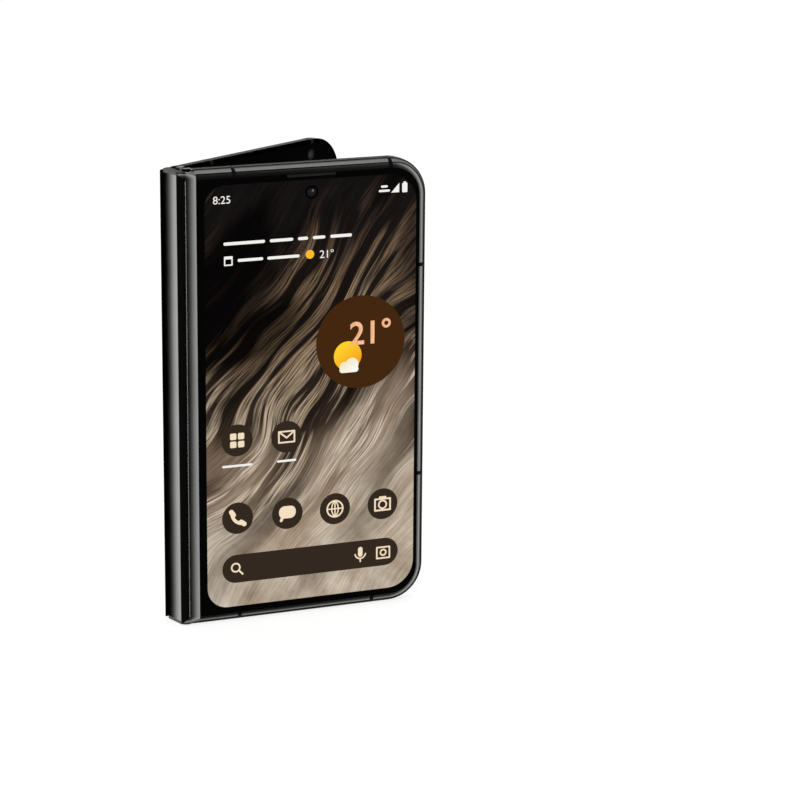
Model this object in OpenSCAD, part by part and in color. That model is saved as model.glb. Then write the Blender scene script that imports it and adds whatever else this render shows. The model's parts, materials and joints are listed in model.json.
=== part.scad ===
// Book-style foldable phone, modelled part way open and standing on its lower edges.
// Each half is drawn lying flat: X runs from the fold line to the free edge, Y is the height
// and Z is the depth below the inner display side, so the outer glass is at the top.

/* [Casing] */
// Height of the phone
body_h = 139.7; // [125:0.1:160]
// Width of one half, from the fold line to its free edge
half_w = 79.35; // [74:0.05:95]
// Thickness of one half
half_t = 5.8; // [5.8:0.1:7]
// Angle between the two halves as modelled
open_angle = 31; // [10:1:120]
// Radius of the casing's free corners
corner_r = 11.5; // [8:0.5:15]
// Rounding of the casing's outer edges
edge_r = 2.8; // [2:0.1:3]
// Rounding of the edges beside the inner display
inner_edge_r = 0.4; // [0.2:0.05:0.6]
// Width of the insulating bands across the metal rim
band_w = 1.2; // [0.8:0.1:2]
// Thickness of the plate that stiffens each half
midplate_t = 0.6; // [0.4:0.1:0.9]

/* [Hinge] */
// Half the distance between the two fold axes
axis_half = 2.475; // [2.4:0.025:2.8]
// Gap between the display sides when shut
shut_gap = 0.5; // [0.4:0.05:0.8]
// Thickness of the lip that wraps the spine
lip_t = 0.8; // [0.6:0.05:0.9]
// Running clearance between the lips and the spine
spine_gap = 0.15; // [0.1:0.01:0.2]
// Wall of the spine cover
cover_wall = 0.5; // [0.4:0.05:0.6]
// Setback of the spine's ends from the casing's ends
spine_inset = 0.4; // [0.2:0.1:0.6]
// Thickness of the spine's end caps
cap_t = 0.9; // [0.6:0.1:1]
// Teeth on each timing gear
gear_teeth = 10; // [8:1:12]
// Pitch radius of the timing gears
gear_pitch_r = 0.9; // [0.86:0.01:0.92]
// Face width of the timing gears
gear_face = 1.2; // [0.8:0.1:1.3]
// Radius of the hinge shafts
shaft_r = 0.6; // [0.4:0.05:0.65]
// Radius of the idler pins
idler_pin_r = 0.3; // [0.2:0.05:0.35]
// Radius of the hub on each hinge arm
hub_r = 1.15; // [1:0.05:1.2]
// Reach of the hinge arms from the fold line
arm_reach = 13; // [11:0.5:16]

/* [Glass and displays] */
// Thickness of the outer glass
glass_t = 0.6; // [0.5:0.05:0.7]
// Distance from the casing's outline to the glass
glass_inset = 2.85; // [2.8:0.05:3]
// Clearance around each glass
glass_gap = 0.06; // [0.04:0.01:0.12]
// Distance from the fold line to the outer glass
seam_u = 5.75; // [5.7:0.05:6]
// Distance from the outer glass's hinge side to the outer display's picture
cover_display_hinge_edge = 2.5; // [2.2:0.1:5]
// Distance from the casing's ends to the outer display's picture
cover_display_end = 4.75; // [4.75:0.05:12]
// Distance from the casing's free edge to the outer display's picture
cover_display_edge = 3.9; // [3.9:0.1:5]
// Thickness of each display panel
panel_t = 0.9; // [0.7:0.05:0.9]
// Radius of the display panels' free corners
panel_r = 8.5; // [5:0.5:9]
// Radius of the display panel's corners at the fold
panel_hinge_r = 6.5; // [4:0.5:7]
// Bezel beside the inner display
inner_bezel_side = 5.55; // [5:0.05:7]
// Bezel above and below the inner display
inner_bezel_end = 8.35; // [8.2:0.05:9]
// Height of the bezel over the inner display
bezel_step = 0.2; // [0.1:0.05:0.3]
// Width of the part of each half whose display bends
fold_reach = 6; // [5.9:0.1:7]

/* [Openings and keys] */
// Radius of the outer camera's window
cover_camera_r = 1.7; // [1.4:0.1:2]
// Length of the earpiece slot
earpiece_l = 15.4; // [10:0.1:18]
// Length of the power key
power_l = 11; // [8:0.5:14]
// Length of the volume key
volume_l = 21; // [16:0.5:24]
// Width of the keys
key_w = 1.7; // [1.4:0.1:1.8]
// How far the keys stand out of the rim
key_proud = 0.4; // [0.3:0.05:0.6]
// Clearance around the keys and the card tray
key_gap = 0.1; // [0.06:0.01:0.15]
// Length of the card tray's face
tray_l = 12.5; // [11:0.5:14]
// Depth of the card tray
tray_depth = 16; // [14:0.5:18]
// Width of the charging socket
socket_w = 8.94; // [8.9:0.02:9]
// Height of the charging socket
socket_h = 3.16; // [3:0.02:3.2]

/* [Camera bar] */
// Length of the camera bar
bar_l = 61; // [56:0.5:64]
// Height of the camera bar
bar_h = 22; // [20:0.5:24]
// How far the camera bar stands out of the back
bar_proud = 2.4; // [1.5:0.1:3]
// Distance from the casing's top to the camera bar's centre
bar_drop = 22.5; // [20:0.5:26]

/* [Hidden] */
$fn = 48;
over = 1;

// Hinge: the axes lie below the inner display side, so that the shut halves meet at shut_gap.
axis_w = axis_half - shut_gap / 2;
lip_outer_r = half_t - axis_w;
lip_inner_r = lip_outer_r - lip_t;
spine_r = lip_inner_r - spine_gap;
spine_inner_r = spine_r - cover_wall;
spine_flat_drop = 0.175;
spine_flat = spine_r - spine_flat_drop;
spine_inner_flat = spine_inner_r - spine_flat_drop;
lip_gap = 0.35;
lip_angle = asin((axis_half - lip_gap) / lip_outer_r);
rim_drop = 0.3;
fold_turn = (180 - open_angle) / 2;

// Stages of each hinge module, counted from the casing's end.
play = 0.05;
cap_end = spine_inset + cap_t;
wall_a_t = 0.55;
gear_z = cap_end + wall_a_t + play;
wall_b_z = gear_z + gear_face + play;
wall_b_t = 0.5;
hub_z = wall_b_z + wall_b_t + play;
hub_l = 1.4;
lobe_h = 0.2;
follower_z = hub_z + hub_l + lobe_h + play;
follower_t = 0.5;
washer_z = follower_z + follower_t;
washer_count = 3;
washer_pitch = 0.33;
wall_c_z = washer_z + washer_count * washer_pitch;
wall_c_t = 0.5;
shaft_z0 = cap_end;
shaft_z1 = wall_c_z + wall_c_t;
foot_l = 4.4;
foot_t = 0.7;
foot_half = 3.2;
foot_screw_u = 1.9;
foot_screw_z = shaft_z1 + foot_l - 1.6;
chassis_head_t = 0.5;
chassis_shank_l = 0.9;
follower_r = 1.05;
washer_r = 1.05;
module_w = 1.6;
web_half = 1.05;
web_t = 0.35;
beam_z = shaft_z1 + foot_l + 0.6;
beam_rise = 1.2;
beam_t = 0.45;
beam_channel = 2.6;
beam_holes = 7;
beam_hole_r = 1.2;
bearing_gap = 0.04;

// Timing gears: a shaft gear and an idler for each half, all alike.
gear_module = 2 * gear_pitch_r / gear_teeth;
gear_tip_r = gear_pitch_r + 0.8 * gear_module;
gear_root_r = gear_pitch_r - 1.15 * gear_module;
gear_pitch_angle = 360 / gear_teeth;
idler_u = gear_pitch_r;
idler_drop = sqrt(pow(2 * gear_pitch_r, 2) - pow(axis_half - idler_u, 2));
idler_w = axis_w + idler_drop;
mesh_angle = atan2(idler_drop, idler_u - axis_half);

// Hinge arms
arm_w0 = 1.2;
arm_t = axis_w - arm_w0 - play;
arm_w1 = arm_w0 + arm_t;
arm_z0 = 1.6;
arm_z1 = inner_bezel_end - 0.85;
arm_neck_u = 6.1;
arm_fit = 0.1;
arm_screws_u = [8.2, arm_reach - 1.6];
arm_screw_r = 0.45;
arm_head_r = 0.85;
arm_screw_l = 2.6;

// Layers of each half, as depths below the inner display side.
bezel_t = 0.7;
panel_w0 = bezel_step;
panel_w1 = panel_w0 + panel_t;
midplate_w1 = panel_w1 + midplate_t;
glass_w = half_t - glass_t;
cover_panel_w = glass_w - panel_t;
bezel_inset = 1.25;
bezel_u = 3.3;
panel_under_bezel = 0.9;
inner_panel_z = inner_bezel_end - 0.45;
inner_panel_side = inner_bezel_side - panel_under_bezel;
bay_inset = glass_inset + 0.85;
rail_flange = 0.85;
rail_top_w = 1.5;
wall_relief = 0.05;
boss_u = arm_reach + 1;
boss_z = 9;
rim_overlap = 0.5;
end_wall_t = 1.2;

// Insulating bands: distances from the fold line on the ends, and heights on the free side.
front_bands_top = [17.6, 67.2];
front_bands_bottom = [18.6, 61.8];
side_bands = [40.8, 106.6];
rear_bands_top = [18, 66];
rear_bands_bottom = [18.6, 62.5];

// Outer display and the pieces around it
cover_display_u1 = half_w - cover_display_edge;
cover_display_u0 = seam_u + cover_display_hinge_edge;
cover_display_z0 = cover_display_end;
cover_centre_u = (cover_display_u0 + cover_display_u1) / 2;
cover_camera_drop = 3.8;
cover_camera_z = body_h - cover_display_z0 - cover_camera_drop;
cover_housing = 5.2;
cover_housing_t = 2.2;
camera_notch_gap = 0.4;
earpiece_w = 0.8;
earpiece_z = body_h - glass_inset - earpiece_w / 2 - 0.15;

// Keys on the rear half's free side
power_drop = 41;
power_z = body_h - power_drop;
volume_drop = 64;
volume_z = body_h - volume_drop;
key_depth = 1.9;
key_wall = 1.6;
key_flange_t = 0.4;
key_flange_lap = 0.5;
key_travel = 0.25;
key_flange_s = key_wall + key_travel;

// Card tray and charging socket in the lower edges
tray_u = 40;
tray_face_w = 2;
tray_face_t = 1.1;
tray_depth_w = 2.75;
tray_t = 1.1;
socket_u = half_w / 2;
socket_depth_w = 3.15;
socket_l = 7;
socket_wall = 0.3;
socket_set = 0.8;
tongue_w = 6.6;
tongue_t = 0.7;
tongue_z = 2;
speaker_holes = 5;
speaker_hole_r = 0.6;
speaker_pitch = 2.1;
speaker_u = socket_u + 16.3;
speaker_box = [-8, 10];
speaker_box_z = 21;
mic_r = 0.4;
mic_w = 2.6;
front_mic_u = tray_u + 11;
rear_mic_u = socket_u - 10;
top_mic_u = 30;

// Camera bar on the back
bar_u = half_w / 2 + 1.5;
bar_z = body_h - bar_drop;
bar_chamfer = 0.7;
window_l = 41;
window_h = 13;
window_u = bar_u - 6;
window_t = 0.7;
flash_u = bar_u + bar_l / 2 - 9;
flash_r = 2.6;
flash_root = 0.8;
flash_recess = 0.15;
lens_u = [window_u - 13.2, window_u - 0.6, window_u + 12.6];
barrel_r = [5, 4.4, 4.7];
barrel_gap = 0.2;
camera_housing = [9.6, 8.4, 9];
camera_band = 15.5;
cone_depth = 1;

// Inner parts
battery_u0 = 14.5;
battery_u1 = half_w - bay_inset - 1;
battery_r = 1.5;
battery_tab_u = battery_u0 + 14;
battery_tab_l = 20;
battery_tab_lap = 1.2;
battery_tab_reach = 0.8;
front_battery_z = [33, body_h - 23.7];
front_battery_t = 2.5;
rear_battery_z = [24, body_h - 45.7];
rear_battery_t = 3;
board_t = 0.7;
board_u0 = 16;
board_top = body_h - 6;
board_free_r = 5;
board_fold_r = 1;
front_board_z0 = body_h - 21;
front_board_u1 = half_w - bay_inset - 1.5;
main_board_z0 = rear_battery_z[1] + 2;
main_board_u1 = half_w - bay_inset - 4;
main_board_mid = (board_u0 + main_board_u1) / 2;
shield_t = 1.3;
shield_r = 0.6;
shield_edge = 1.5;
shield_gap = 1;
coil_t = 0.4;
coil_turns = 6;
coil_inner_r = 12;
coil_pitch = 1.4;
coil_wire = 0.9;
haptic_r = 4.5;
haptic_u = half_w - 16.35;
haptic_z = 14;
haptic_lead = 3;
haptic_lead_t = 0.8;
reader_wall = 0.6;
switch_l = 3.2;
switch_w = 1.4;
switch_base = 0.6;
inner_camera_u = half_w - 14;
inner_camera_z = body_h - 4.6;
inner_camera_r = 1.6;

// The rest pose: the front half lies along X and the origin is under the middle of the phone.
function turned(p, angle) = [p.x * cos(angle) - p.y * sin(angle), p.x * sin(angle) + p.y * cos(angle)];
front_axis = turned([axis_half, -axis_w], -fold_turn);
rear_axis = turned([-axis_half, -axis_w], -fold_turn);
rear_along = turned([1, 0], open_angle);
rear_out = turned([0, 1], open_angle);
free_reach = half_w - axis_half;
rear_round = rear_axis + (free_reach - edge_r) * rear_along + (lip_outer_r - edge_r) * rear_out;
rear_lip = rear_axis + lip_outer_r * turned([-sin(lip_angle), cos(lip_angle)], open_angle);
bar_reach = bar_u + bar_l / 2 - axis_half - bar_chamfer;
bar_corner = rear_axis + bar_reach * rear_along + (lip_outer_r + bar_proud) * rear_out;
box_x0 = min(rear_lip.x, rear_axis.x - spine_r);
box_x1 = front_axis.x + free_reach;
box_y0 = front_axis.y - lip_outer_r;
box_y1 = max(rear_round.y + edge_r, bar_corner.y);
origin_shift = [-(box_x0 + box_x1) / 2, -(box_y0 + box_y1) / 2, 0];

// ---- Placing ----

// Stands a flat drawing up, so that its depth runs towards -Y.
module upright() {
  rotate([90, 0, 0]) children();
}

module in_spine() {
  translate(origin_shift) rotate([0, 0, -fold_turn]) upright() children();
}

module in_front_half() {
  translate(origin_shift + [front_axis.x, front_axis.y, 0])
    translate([-axis_half, axis_w, 0])
      upright() children();
}

module in_rear_half() {
  translate(origin_shift + [rear_axis.x, rear_axis.y, 0])
    rotate([0, 0, open_angle - 180])
      translate([axis_half, axis_w, 0])
        upright() mirror([1, 0, 0]) children();
}

// Repeats a drawing at the lower and the upper end.
module both_ends() {
  children();
  translate([0, body_h, 0]) mirror([0, 1, 0]) children();
}

// Repeats a drawing on both sides of the fold line.
module both_sides() {
  children();
  mirror([1, 0, 0]) children();
}

// ---- Shapes ----

module slab(w0, w1) {
  translate([0, 0, w0]) linear_extrude(w1 - w0) children();
}

// Extrudes a section drawn across the fold along the height, from z0 to z1.
module along_height(z0, z1) {
  translate([0, z1, 0]) rotate([90, 0, 0]) linear_extrude(z1 - z0) children();
}

// The waste outside a rounded lower right corner at the origin.
module corner_waste(r) {
  difference() {
    translate([-r, -over]) square(r + over);
    translate([-r, r]) circle(r);
  }
}

// A plate's outline with its own radii at the free side and at the fold.
module plate_outline(u0, z0, u1, z1, free_r = 0, fold_r = 0) {
  difference() {
    translate([u0, z0]) square([u1 - u0, z1 - z0]);
    if (free_r > 0) {
      translate([u1, z0]) corner_waste(free_r);
      translate([u1, z1]) mirror([0, 1]) corner_waste(free_r);
    }
    if (fold_r > 0) {
      translate([u0, z0]) mirror([1, 0]) corner_waste(fold_r);
      translate([u0, z1]) mirror([1, 0]) mirror([0, 1]) corner_waste(fold_r);
    }
  }
}

// The outline of a half, set in by a margin all round its three free sides.
module half_outline(u0, margin, extra_r = 0) {
  plate_outline(u0, margin, half_w - margin, body_h - margin, max(corner_r - margin, 0.3) + extra_r);
}

// The rim's section: across from the casing's outline, up from the inner display side.
module rim_section() {
  difference() {
    square([edge_r + rim_overlap, half_t]);
    translate([0, half_t]) mirror([1, 0]) mirror([0, 1]) corner_waste(edge_r);
    mirror([1, 0]) corner_waste(inner_edge_r);
  }
}

// Sweeps the rim's section along the lower, free and upper sides.
module rim(u0) {
  both_ends() {
    translate([u0, 0, 0]) rotate([90, 0, 90]) linear_extrude(half_w - corner_r - u0) rim_section();
    translate([half_w - corner_r, corner_r, 0])
      rotate([0, 0, -90])
        rotate_extrude(angle = 90) translate([corner_r, 0]) mirror([1, 0]) rim_section();
  }
  translate([half_w, 0, 0]) along_height(corner_r, body_h - corner_r) mirror([1, 0]) rim_section();
}

// A half's casing before anything is cut out of it.
module half_blank(u0) {
  rim(u0);
  slab(0, half_t) half_outline(u0, edge_r);
}

// A round-ended bar along X from half of its cross-section.
module pill(length) {
  straight = length / 2;
  rotate([90, 0, 90]) translate([0, 0, -straight]) linear_extrude(length) both_sides() children();
  for (side = [0, 1])
    rotate([0, 0, side * 180])
      translate([straight, 0, 0]) rotate([0, 0, -90]) rotate_extrude(angle = 180) children();
}

// A round-ended bar of plain height, of full length l and width d.
module plain_pill(l, d, h) {
  pill(l - d) square([d / 2, h]);
}

// ---- Casing of a half ----

module band_slots(top, bottom, side) {
  for (u = bottom)
    translate([u - band_w / 2, -over, -over]) cube([band_w, glass_inset + over, half_t + 2 * over]);
  for (u = top)
    translate([u - band_w / 2, body_h - glass_inset, -over])
      cube([band_w, glass_inset + over, half_t + 2 * over]);
  for (z = side)
    translate([half_w - glass_inset, z - band_w / 2, -over])
      cube([glass_inset + over, band_w, half_t + 2 * over]);
}

// Room for the glass, the works, the bezel, the inner display and the hinge arms.
module casing_pockets() {
  slab(glass_w, half_t + over) half_outline(seam_u - over, glass_inset - glass_gap);
  slab(midplate_w1, glass_w + over)
    difference() {
      half_outline(seam_u - over, bay_inset);
      both_ends() square([boss_u, boss_z]);
    }
  slab(-over, bezel_t) half_outline(seam_u - over, bezel_inset - glass_gap);
  slab(0, panel_w1 + play)
    plate_outline(seam_u - over, inner_panel_z - glass_gap, half_w - inner_panel_side + glass_gap,
      body_h - inner_panel_z + glass_gap, panel_r);
  both_ends() {
    slab(0, arm_w1)
      plate_outline(seam_u - over, arm_z0 - arm_fit, arm_reach + arm_fit, arm_z1 + arm_fit, 0.8);
    for (u = arm_screws_u)
      translate([u, (arm_z0 + arm_z1) / 2, 0]) cylinder(r = arm_screw_r, h = arm_w1 + arm_screw_l);
  }
}

module casing(top, bottom) {
  difference() {
    half_blank(seam_u);
    casing_pockets();
    band_slots(top, bottom, side_bands);
  }
}

module bands(top, bottom) {
  color("dimgray")
    difference() {
      intersection() {
        half_blank(seam_u);
        band_slots(top, bottom, side_bands);
      }
      casing_pockets();
    }
}

// The rail's section across the fold: a foot beside the glass, and a lip that curls round the
// fold axis to just short of the other half's lip. Past the axis its inner face runs flat, so
// that it clears the spine's flat when the phone is open.
module rail_section() {
  difference() {
    translate([axis_half - lip_outer_r, rail_top_w])
      square([seam_u - axis_half + lip_outer_r, half_t - rail_top_w]);
    translate([axis_half - lip_outer_r, half_t]) mirror([1, 0]) mirror([0, 1]) corner_waste(lip_outer_r);
    translate([axis_half, axis_w]) {
      circle(lip_inner_r);
      translate([-half_t, -half_t]) square([half_t + lip_inner_r + wall_relief, half_t]);
      translate([-half_t, -over]) square([half_t, spine_flat + spine_gap + over]);
      rotate(lip_angle) translate([-half_t, 0]) square([half_t, half_t]);
    }
  }
}

module hinge_rail() {
  color("#2b2c2e") {
    difference() {
      along_height(0, body_h) rail_section();
      both_ends()
        translate([-half_t, 0, half_t])
          rotate([90, 0, 90]) linear_extrude(3 * half_t) mirror([1, 0]) mirror([0, 1]) corner_waste(edge_r);
    }
    slab(midplate_w1, glass_w)
      plate_outline(seam_u - lip_t / 2, boss_z + play, seam_u + rail_flange, body_h - boss_z - play);
    both_ends()
      difference() {
        slab(0, rail_top_w + play) plate_outline(bezel_u, 0, seam_u, end_wall_t);
        slab(-over, bezel_t) plate_outline(bezel_u - over, bezel_inset - glass_gap, seam_u + over, boss_z);
      }
  }
}

// The hinge arms lie in a notch of the rail.
module rail_notches() {
  both_ends()
    slab(0, arm_w1 + play)
      plate_outline(bezel_u, arm_z0 - arm_fit, seam_u + over, arm_z1 + arm_fit);
}

module notched_rail() {
  difference() {
    hinge_rail();
    rail_notches();
  }
}

// ---- Hinge ----

// The spine's section: rounded under each axis, and flat between them and a little lower.
module spine_section(r, from_w) {
  reach = axis_half + r;
  difference() {
    translate([-reach, from_w]) square([2 * reach, axis_w + r - spine_flat_drop - from_w]);
    both_sides() translate([reach, axis_w + r]) mirror([0, 1]) corner_waste(r);
  }
}

module chassis_screw_places() {
  both_ends() both_sides() translate([foot_screw_u, foot_screw_z, 0]) children();
}

module spine_cover() {
  color("#3a3b3d")
    difference() {
      along_height(cap_end, body_h - cap_end) spine_section(spine_r, axis_w + rim_drop);
      along_height(0, body_h) spine_section(spine_inner_r, 0);
      chassis_screw_places() cylinder(r = arm_screw_r, h = axis_w + spine_flat - cover_wall / 2);
    }
}

module spine_end_caps() {
  color("#57585a") both_ends() along_height(spine_inset, cap_end) spine_section(spine_r, module_w);
}

// A wall across the spine that carries the shafts, and the idler pins if asked.
module bearing_wall(z, t, idlers) {
  difference() {
    along_height(z, z + t) spine_section(spine_inner_r - play, module_w + 0.2);
    both_sides()
      along_height(z - over, z + t + over)
        translate([axis_half, axis_w]) circle(shaft_r + bearing_gap);
    if (idlers)
      both_sides() along_height(z - over, z + t + over) translate([idler_u, idler_w]) circle(idler_pin_r);
  }
}

module hinge_chassis() {
  color("#77797c")
    both_ends() {
      bearing_wall(cap_end, wall_a_t, true);
      bearing_wall(wall_b_z, wall_b_t, true);
      bearing_wall(wall_c_z, wall_c_t, false);
      slab(module_w, module_w + web_t) plate_outline(-web_half, cap_end, web_half, shaft_z1);
      difference() {
        intersection() {
          slab(axis_w + spine_inner_flat - foot_t, half_t)
            plate_outline(-foot_half, wall_c_z, foot_half, shaft_z1 + foot_l);
          along_height(0, body_h) spine_section(spine_inner_r - play, 0);
        }
        both_sides()
          translate([foot_screw_u, foot_screw_z, 0]) cylinder(r = arm_screw_r, h = half_t);
      }
    }
}

module screw(head_r, head_t, shank_l) {
  difference() {
    cylinder(r = head_r, h = head_t);
    translate([0, 0, -over]) cylinder(r = head_r * 0.45, h = head_t / 2 + over, $fn = 6);
  }
  translate([0, 0, head_t]) cylinder(r = arm_screw_r, h = shank_l);
}

module chassis_screws() {
  foot_w = axis_w + spine_inner_flat - foot_t;
  color("silver")
    chassis_screw_places()
      translate([0, 0, foot_w - chassis_head_t]) screw(arm_head_r, chassis_head_t, chassis_shank_l);
}

module idler_pins() {
  color("silver")
    both_ends() both_sides()
      along_height(cap_end, wall_b_z + wall_b_t) translate([idler_u, idler_w]) circle(idler_pin_r);
}

// Keyed followers ride on both shafts and press on the arms' cam lobes.
module cam_followers() {
  color("#8d8f92")
    both_ends()
      difference() {
        along_height(follower_z, follower_z + follower_t)
          spine_section(follower_r, module_w + web_t + play);
        both_sides() along_height(0, body_h) translate([axis_half, axis_w]) circle(shaft_r + bearing_gap);
      }
}

// Conical spring washers, stacked face to face, push each follower against its arms.
module spring_washers() {
  cone_h = 0.12;
  leaf_t = 0.14;
  inner_r = shaft_r + 2 * bearing_gap;
  color("silver")
    both_ends() both_sides()
      for (i = [0 : washer_count - 1])
        translate([axis_half, washer_z + (i + 0.5) * washer_pitch, axis_w])
          rotate([i % 2 == 0 ? -90 : 90, 0, 0])
            translate([0, 0, -(cone_h + leaf_t) / 2])
              rotate_extrude()
                polygon([[inner_r, cone_h], [washer_r, 0], [washer_r, leaf_t], [inner_r, cone_h + leaf_t]]);
}

// A channel that stiffens the spine between the hinge modules.
module spine_beam() {
  color("#6d6f72")
    difference() {
      along_height(beam_z, body_h - beam_z) spine_section(spine_inner_r, axis_w + beam_rise);
      slab(0, axis_w + spine_inner_flat - beam_t) plate_outline(-beam_channel, 0, beam_channel, body_h);
      for (i = [1 : beam_holes])
        translate([0, beam_z + i * (body_h - 2 * beam_z) / (beam_holes + 1), 0])
          cylinder(r = beam_hole_r, h = half_t);
    }
}

// One gear: tapered teeth on a round root, with a tooth pointing along X.
module gear_outline() {
  root_half = gear_pitch_angle * 0.29;
  tip_half = gear_pitch_angle * 0.13;
  circle(gear_root_r);
  for (i = [0 : gear_teeth - 1])
    rotate(i * gear_pitch_angle)
      polygon([
        [0, 0],
        gear_root_r * [cos(root_half), -sin(root_half)],
        gear_tip_r * [cos(tip_half), -sin(tip_half)],
        gear_tip_r * [cos(tip_half), sin(tip_half)],
        gear_root_r * [cos(root_half), sin(root_half)]]);
}

module gear(u, w, bore_r, phase) {
  both_ends()
    along_height(gear_z, gear_z + gear_face)
      translate([u, w])
        difference() {
          rotate(phase) gear_outline();
          circle(bore_r);
        }
}

// The rear train is the front one mirrored and half a tooth on, so that the idlers mesh.
module front_idlers() {
  color("goldenrod")
    in_spine() gear(idler_u, idler_w, idler_pin_r + bearing_gap, mesh_angle + 180 + gear_pitch_angle / 2);
}

module rear_idlers() {
  color("goldenrod")
    in_spine()
      mirror([1, 0, 0]) gear(idler_u, idler_w, idler_pin_r + bearing_gap, mesh_angle + 180);
}

// A gear fixed on each shaft: its phase counts from the spine, so the fold's turn comes off.
module shaft_gears(half_tooth) {
  color("goldenrod")
    gear(axis_half, axis_w, shaft_r, mesh_angle + fold_turn + half_tooth * gear_pitch_angle / 2);
}

module hinge_shafts() {
  color("silver")
    both_ends() along_height(shaft_z0, shaft_z1) translate([axis_half, axis_w]) circle(shaft_r);
}

module hinge_arms() {
  color("#85878a")
    both_ends() {
      difference() {
        union() {
          along_height(hub_z, hub_z + hub_l) {
            translate([axis_half, axis_w]) circle(hub_r);
            translate([axis_half, arm_w0]) square([arm_neck_u - axis_half + rim_overlap, arm_t]);
          }
          slab(arm_w0, arm_w1) plate_outline(arm_neck_u, arm_z0, arm_reach, arm_z1, 0.7, 0.5);
          for (side = [0, 180])
            translate([axis_half, hub_z + hub_l, axis_w])
              rotate([-90, side, 0])
                rotate_extrude(angle = 50) translate([shaft_r, 0]) square([0.35, lobe_h]);
        }
        along_height(0, body_h) translate([axis_half, axis_w]) circle(shaft_r);
        for (u = arm_screws_u)
          translate([u, (arm_z0 + arm_z1) / 2, 0]) {
            cylinder(r = arm_screw_r, h = half_t);
            cylinder(r = arm_head_r, h = arm_w0 + arm_t / 2);
          }
      }
    }
}

module arm_screws() {
  color("silver")
    both_ends()
      for (u = arm_screws_u)
        translate([u, (arm_z0 + arm_z1) / 2, arm_w0]) screw(arm_head_r, arm_t / 2, arm_t / 2 + arm_screw_l);
}

// ---- Glass and displays ----

module glass_outline() {
  plate_outline(seam_u + glass_gap, glass_inset, half_w - glass_inset, body_h - glass_inset,
    corner_r - glass_inset, 0.3);
}

module cover_panel_outline(gap) {
  plate_outline(cover_display_u0 - gap, cover_display_z0 - gap, cover_display_u1 + gap,
    body_h - cover_display_z0 + gap, panel_r + gap, panel_hinge_r + gap);
}

// The ring that frames the inner display, with a thin lip over the panel's edge.
module bezel() {
  color("#1b1b1c")
    difference() {
      slab(0, bezel_t) half_outline(bezel_u, bezel_inset);
      slab(-over, bezel_t + over)
        plate_outline(0, inner_bezel_end, half_w - inner_bezel_side, body_h - inner_bezel_end, panel_r - 1);
      slab(panel_w0, bezel_t + over)
        plate_outline(0, inner_panel_z - glass_gap, half_w - inner_panel_side + glass_gap,
          body_h - inner_panel_z + glass_gap, panel_r);
    }
}

module inner_display() {
  color("black")
    slab(panel_w0, panel_w1)
      plate_outline(fold_reach, inner_panel_z, half_w - inner_panel_side, body_h - inner_panel_z, panel_r);
}

// The bending part of the inner display. A point at distance u from the fold line turns about
// the fold axis by a share of the fold's turn that eases from none to all of it.
function share(u) = pow(u / fold_reach, 2) * (3 - 2 * u / fold_reach);
function bent(u, w) =
  [axis_half, axis_w] + turned([u - axis_half, w - axis_w], (1 - share(u)) * fold_turn);

module fold_display() {
  steps = 16;
  side = [for (i = [0 : steps]) i * fold_reach / steps];
  color("black")
    along_height(inner_panel_z, body_h - inner_panel_z)
      polygon(concat(
        [for (u = side) bent(u, panel_w0)],
        [for (i = [0 : steps]) bent(side[steps - i], panel_w1)]));
}

// ---- Pieces of the front half ----

module cover_glass() {
  color("#08080a")
    slab(glass_w, half_t)
      difference() {
        glass_outline();
        translate([cover_centre_u - earpiece_l / 2 - glass_gap, earpiece_z - earpiece_w / 2 - glass_gap])
          square([earpiece_l + 2 * glass_gap, earpiece_w + 2 * glass_gap]);
      }
}

module earpiece_slot(gap) {
  translate([cover_centre_u, earpiece_z, glass_w - 0.5])
    plain_pill(earpiece_l + 2 * gap, earpiece_w + 2 * gap, 2);
}

module cover_display() {
  color("#101018")
    slab(cover_panel_w, glass_w)
      difference() {
        cover_panel_outline(0);
        translate([cover_centre_u, cover_camera_z]) circle(cover_camera_r);
      }
}

module cover_camera() {
  color("#101012")
    translate([cover_centre_u, cover_camera_z, 0]) {
      translate([0, 0, cover_panel_w]) cylinder(r = cover_camera_r - glass_gap, h = panel_t);
      translate([-cover_housing / 2, -cover_housing / 2, cover_panel_w - cover_housing_t])
        cube([cover_housing, cover_housing, cover_housing_t]);
    }
}

module earpiece_mesh() {
  color("#3c3c3e")
    translate([cover_centre_u, earpiece_z, half_t - 0.35]) plain_pill(earpiece_l, earpiece_w, 0.2);
}

// A pouch cell with its folded edge and its taped tab end.
module battery(z, t, tab_side) {
  tab_z = tab_side > 0 ? z[1] - battery_tab_lap : z[0] - battery_tab_reach;
  color("#2a2c30") {
    slab(midplate_w1, midplate_w1 + t)
      plate_outline(battery_u0, z[0], battery_u1, z[1], battery_r, battery_r);
    slab(midplate_w1, midplate_w1 + t * 0.6)
      plate_outline(battery_tab_u, tab_z, battery_tab_u + battery_tab_l,
        tab_z + battery_tab_lap + battery_tab_reach);
  }
}

module front_board() {
  notch = cover_housing + 2 * camera_notch_gap;
  color("darkgreen")
    slab(cover_panel_w - board_t - shield_t, cover_panel_w - shield_t)
      difference() {
        plate_outline(board_u0, front_board_z0, front_board_u1, board_top, board_free_r, board_fold_r);
        translate([cover_centre_u - notch / 2, cover_camera_z - notch / 2]) square([notch, notch + over]);
      }
}

module front_board_shields() {
  color("silver")
    slab(cover_panel_w - shield_t, cover_panel_w - play) {
      plate_outline(board_u0 + shield_edge, front_board_z0 + shield_edge,
        cover_centre_u - cover_housing, board_top - 2 * shield_edge, shield_r, shield_r);
      plate_outline(cover_centre_u + cover_housing, front_board_z0 + shield_edge,
        front_board_u1 - board_free_r, board_top - 2 * shield_edge, shield_r, shield_r);
    }
}

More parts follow.
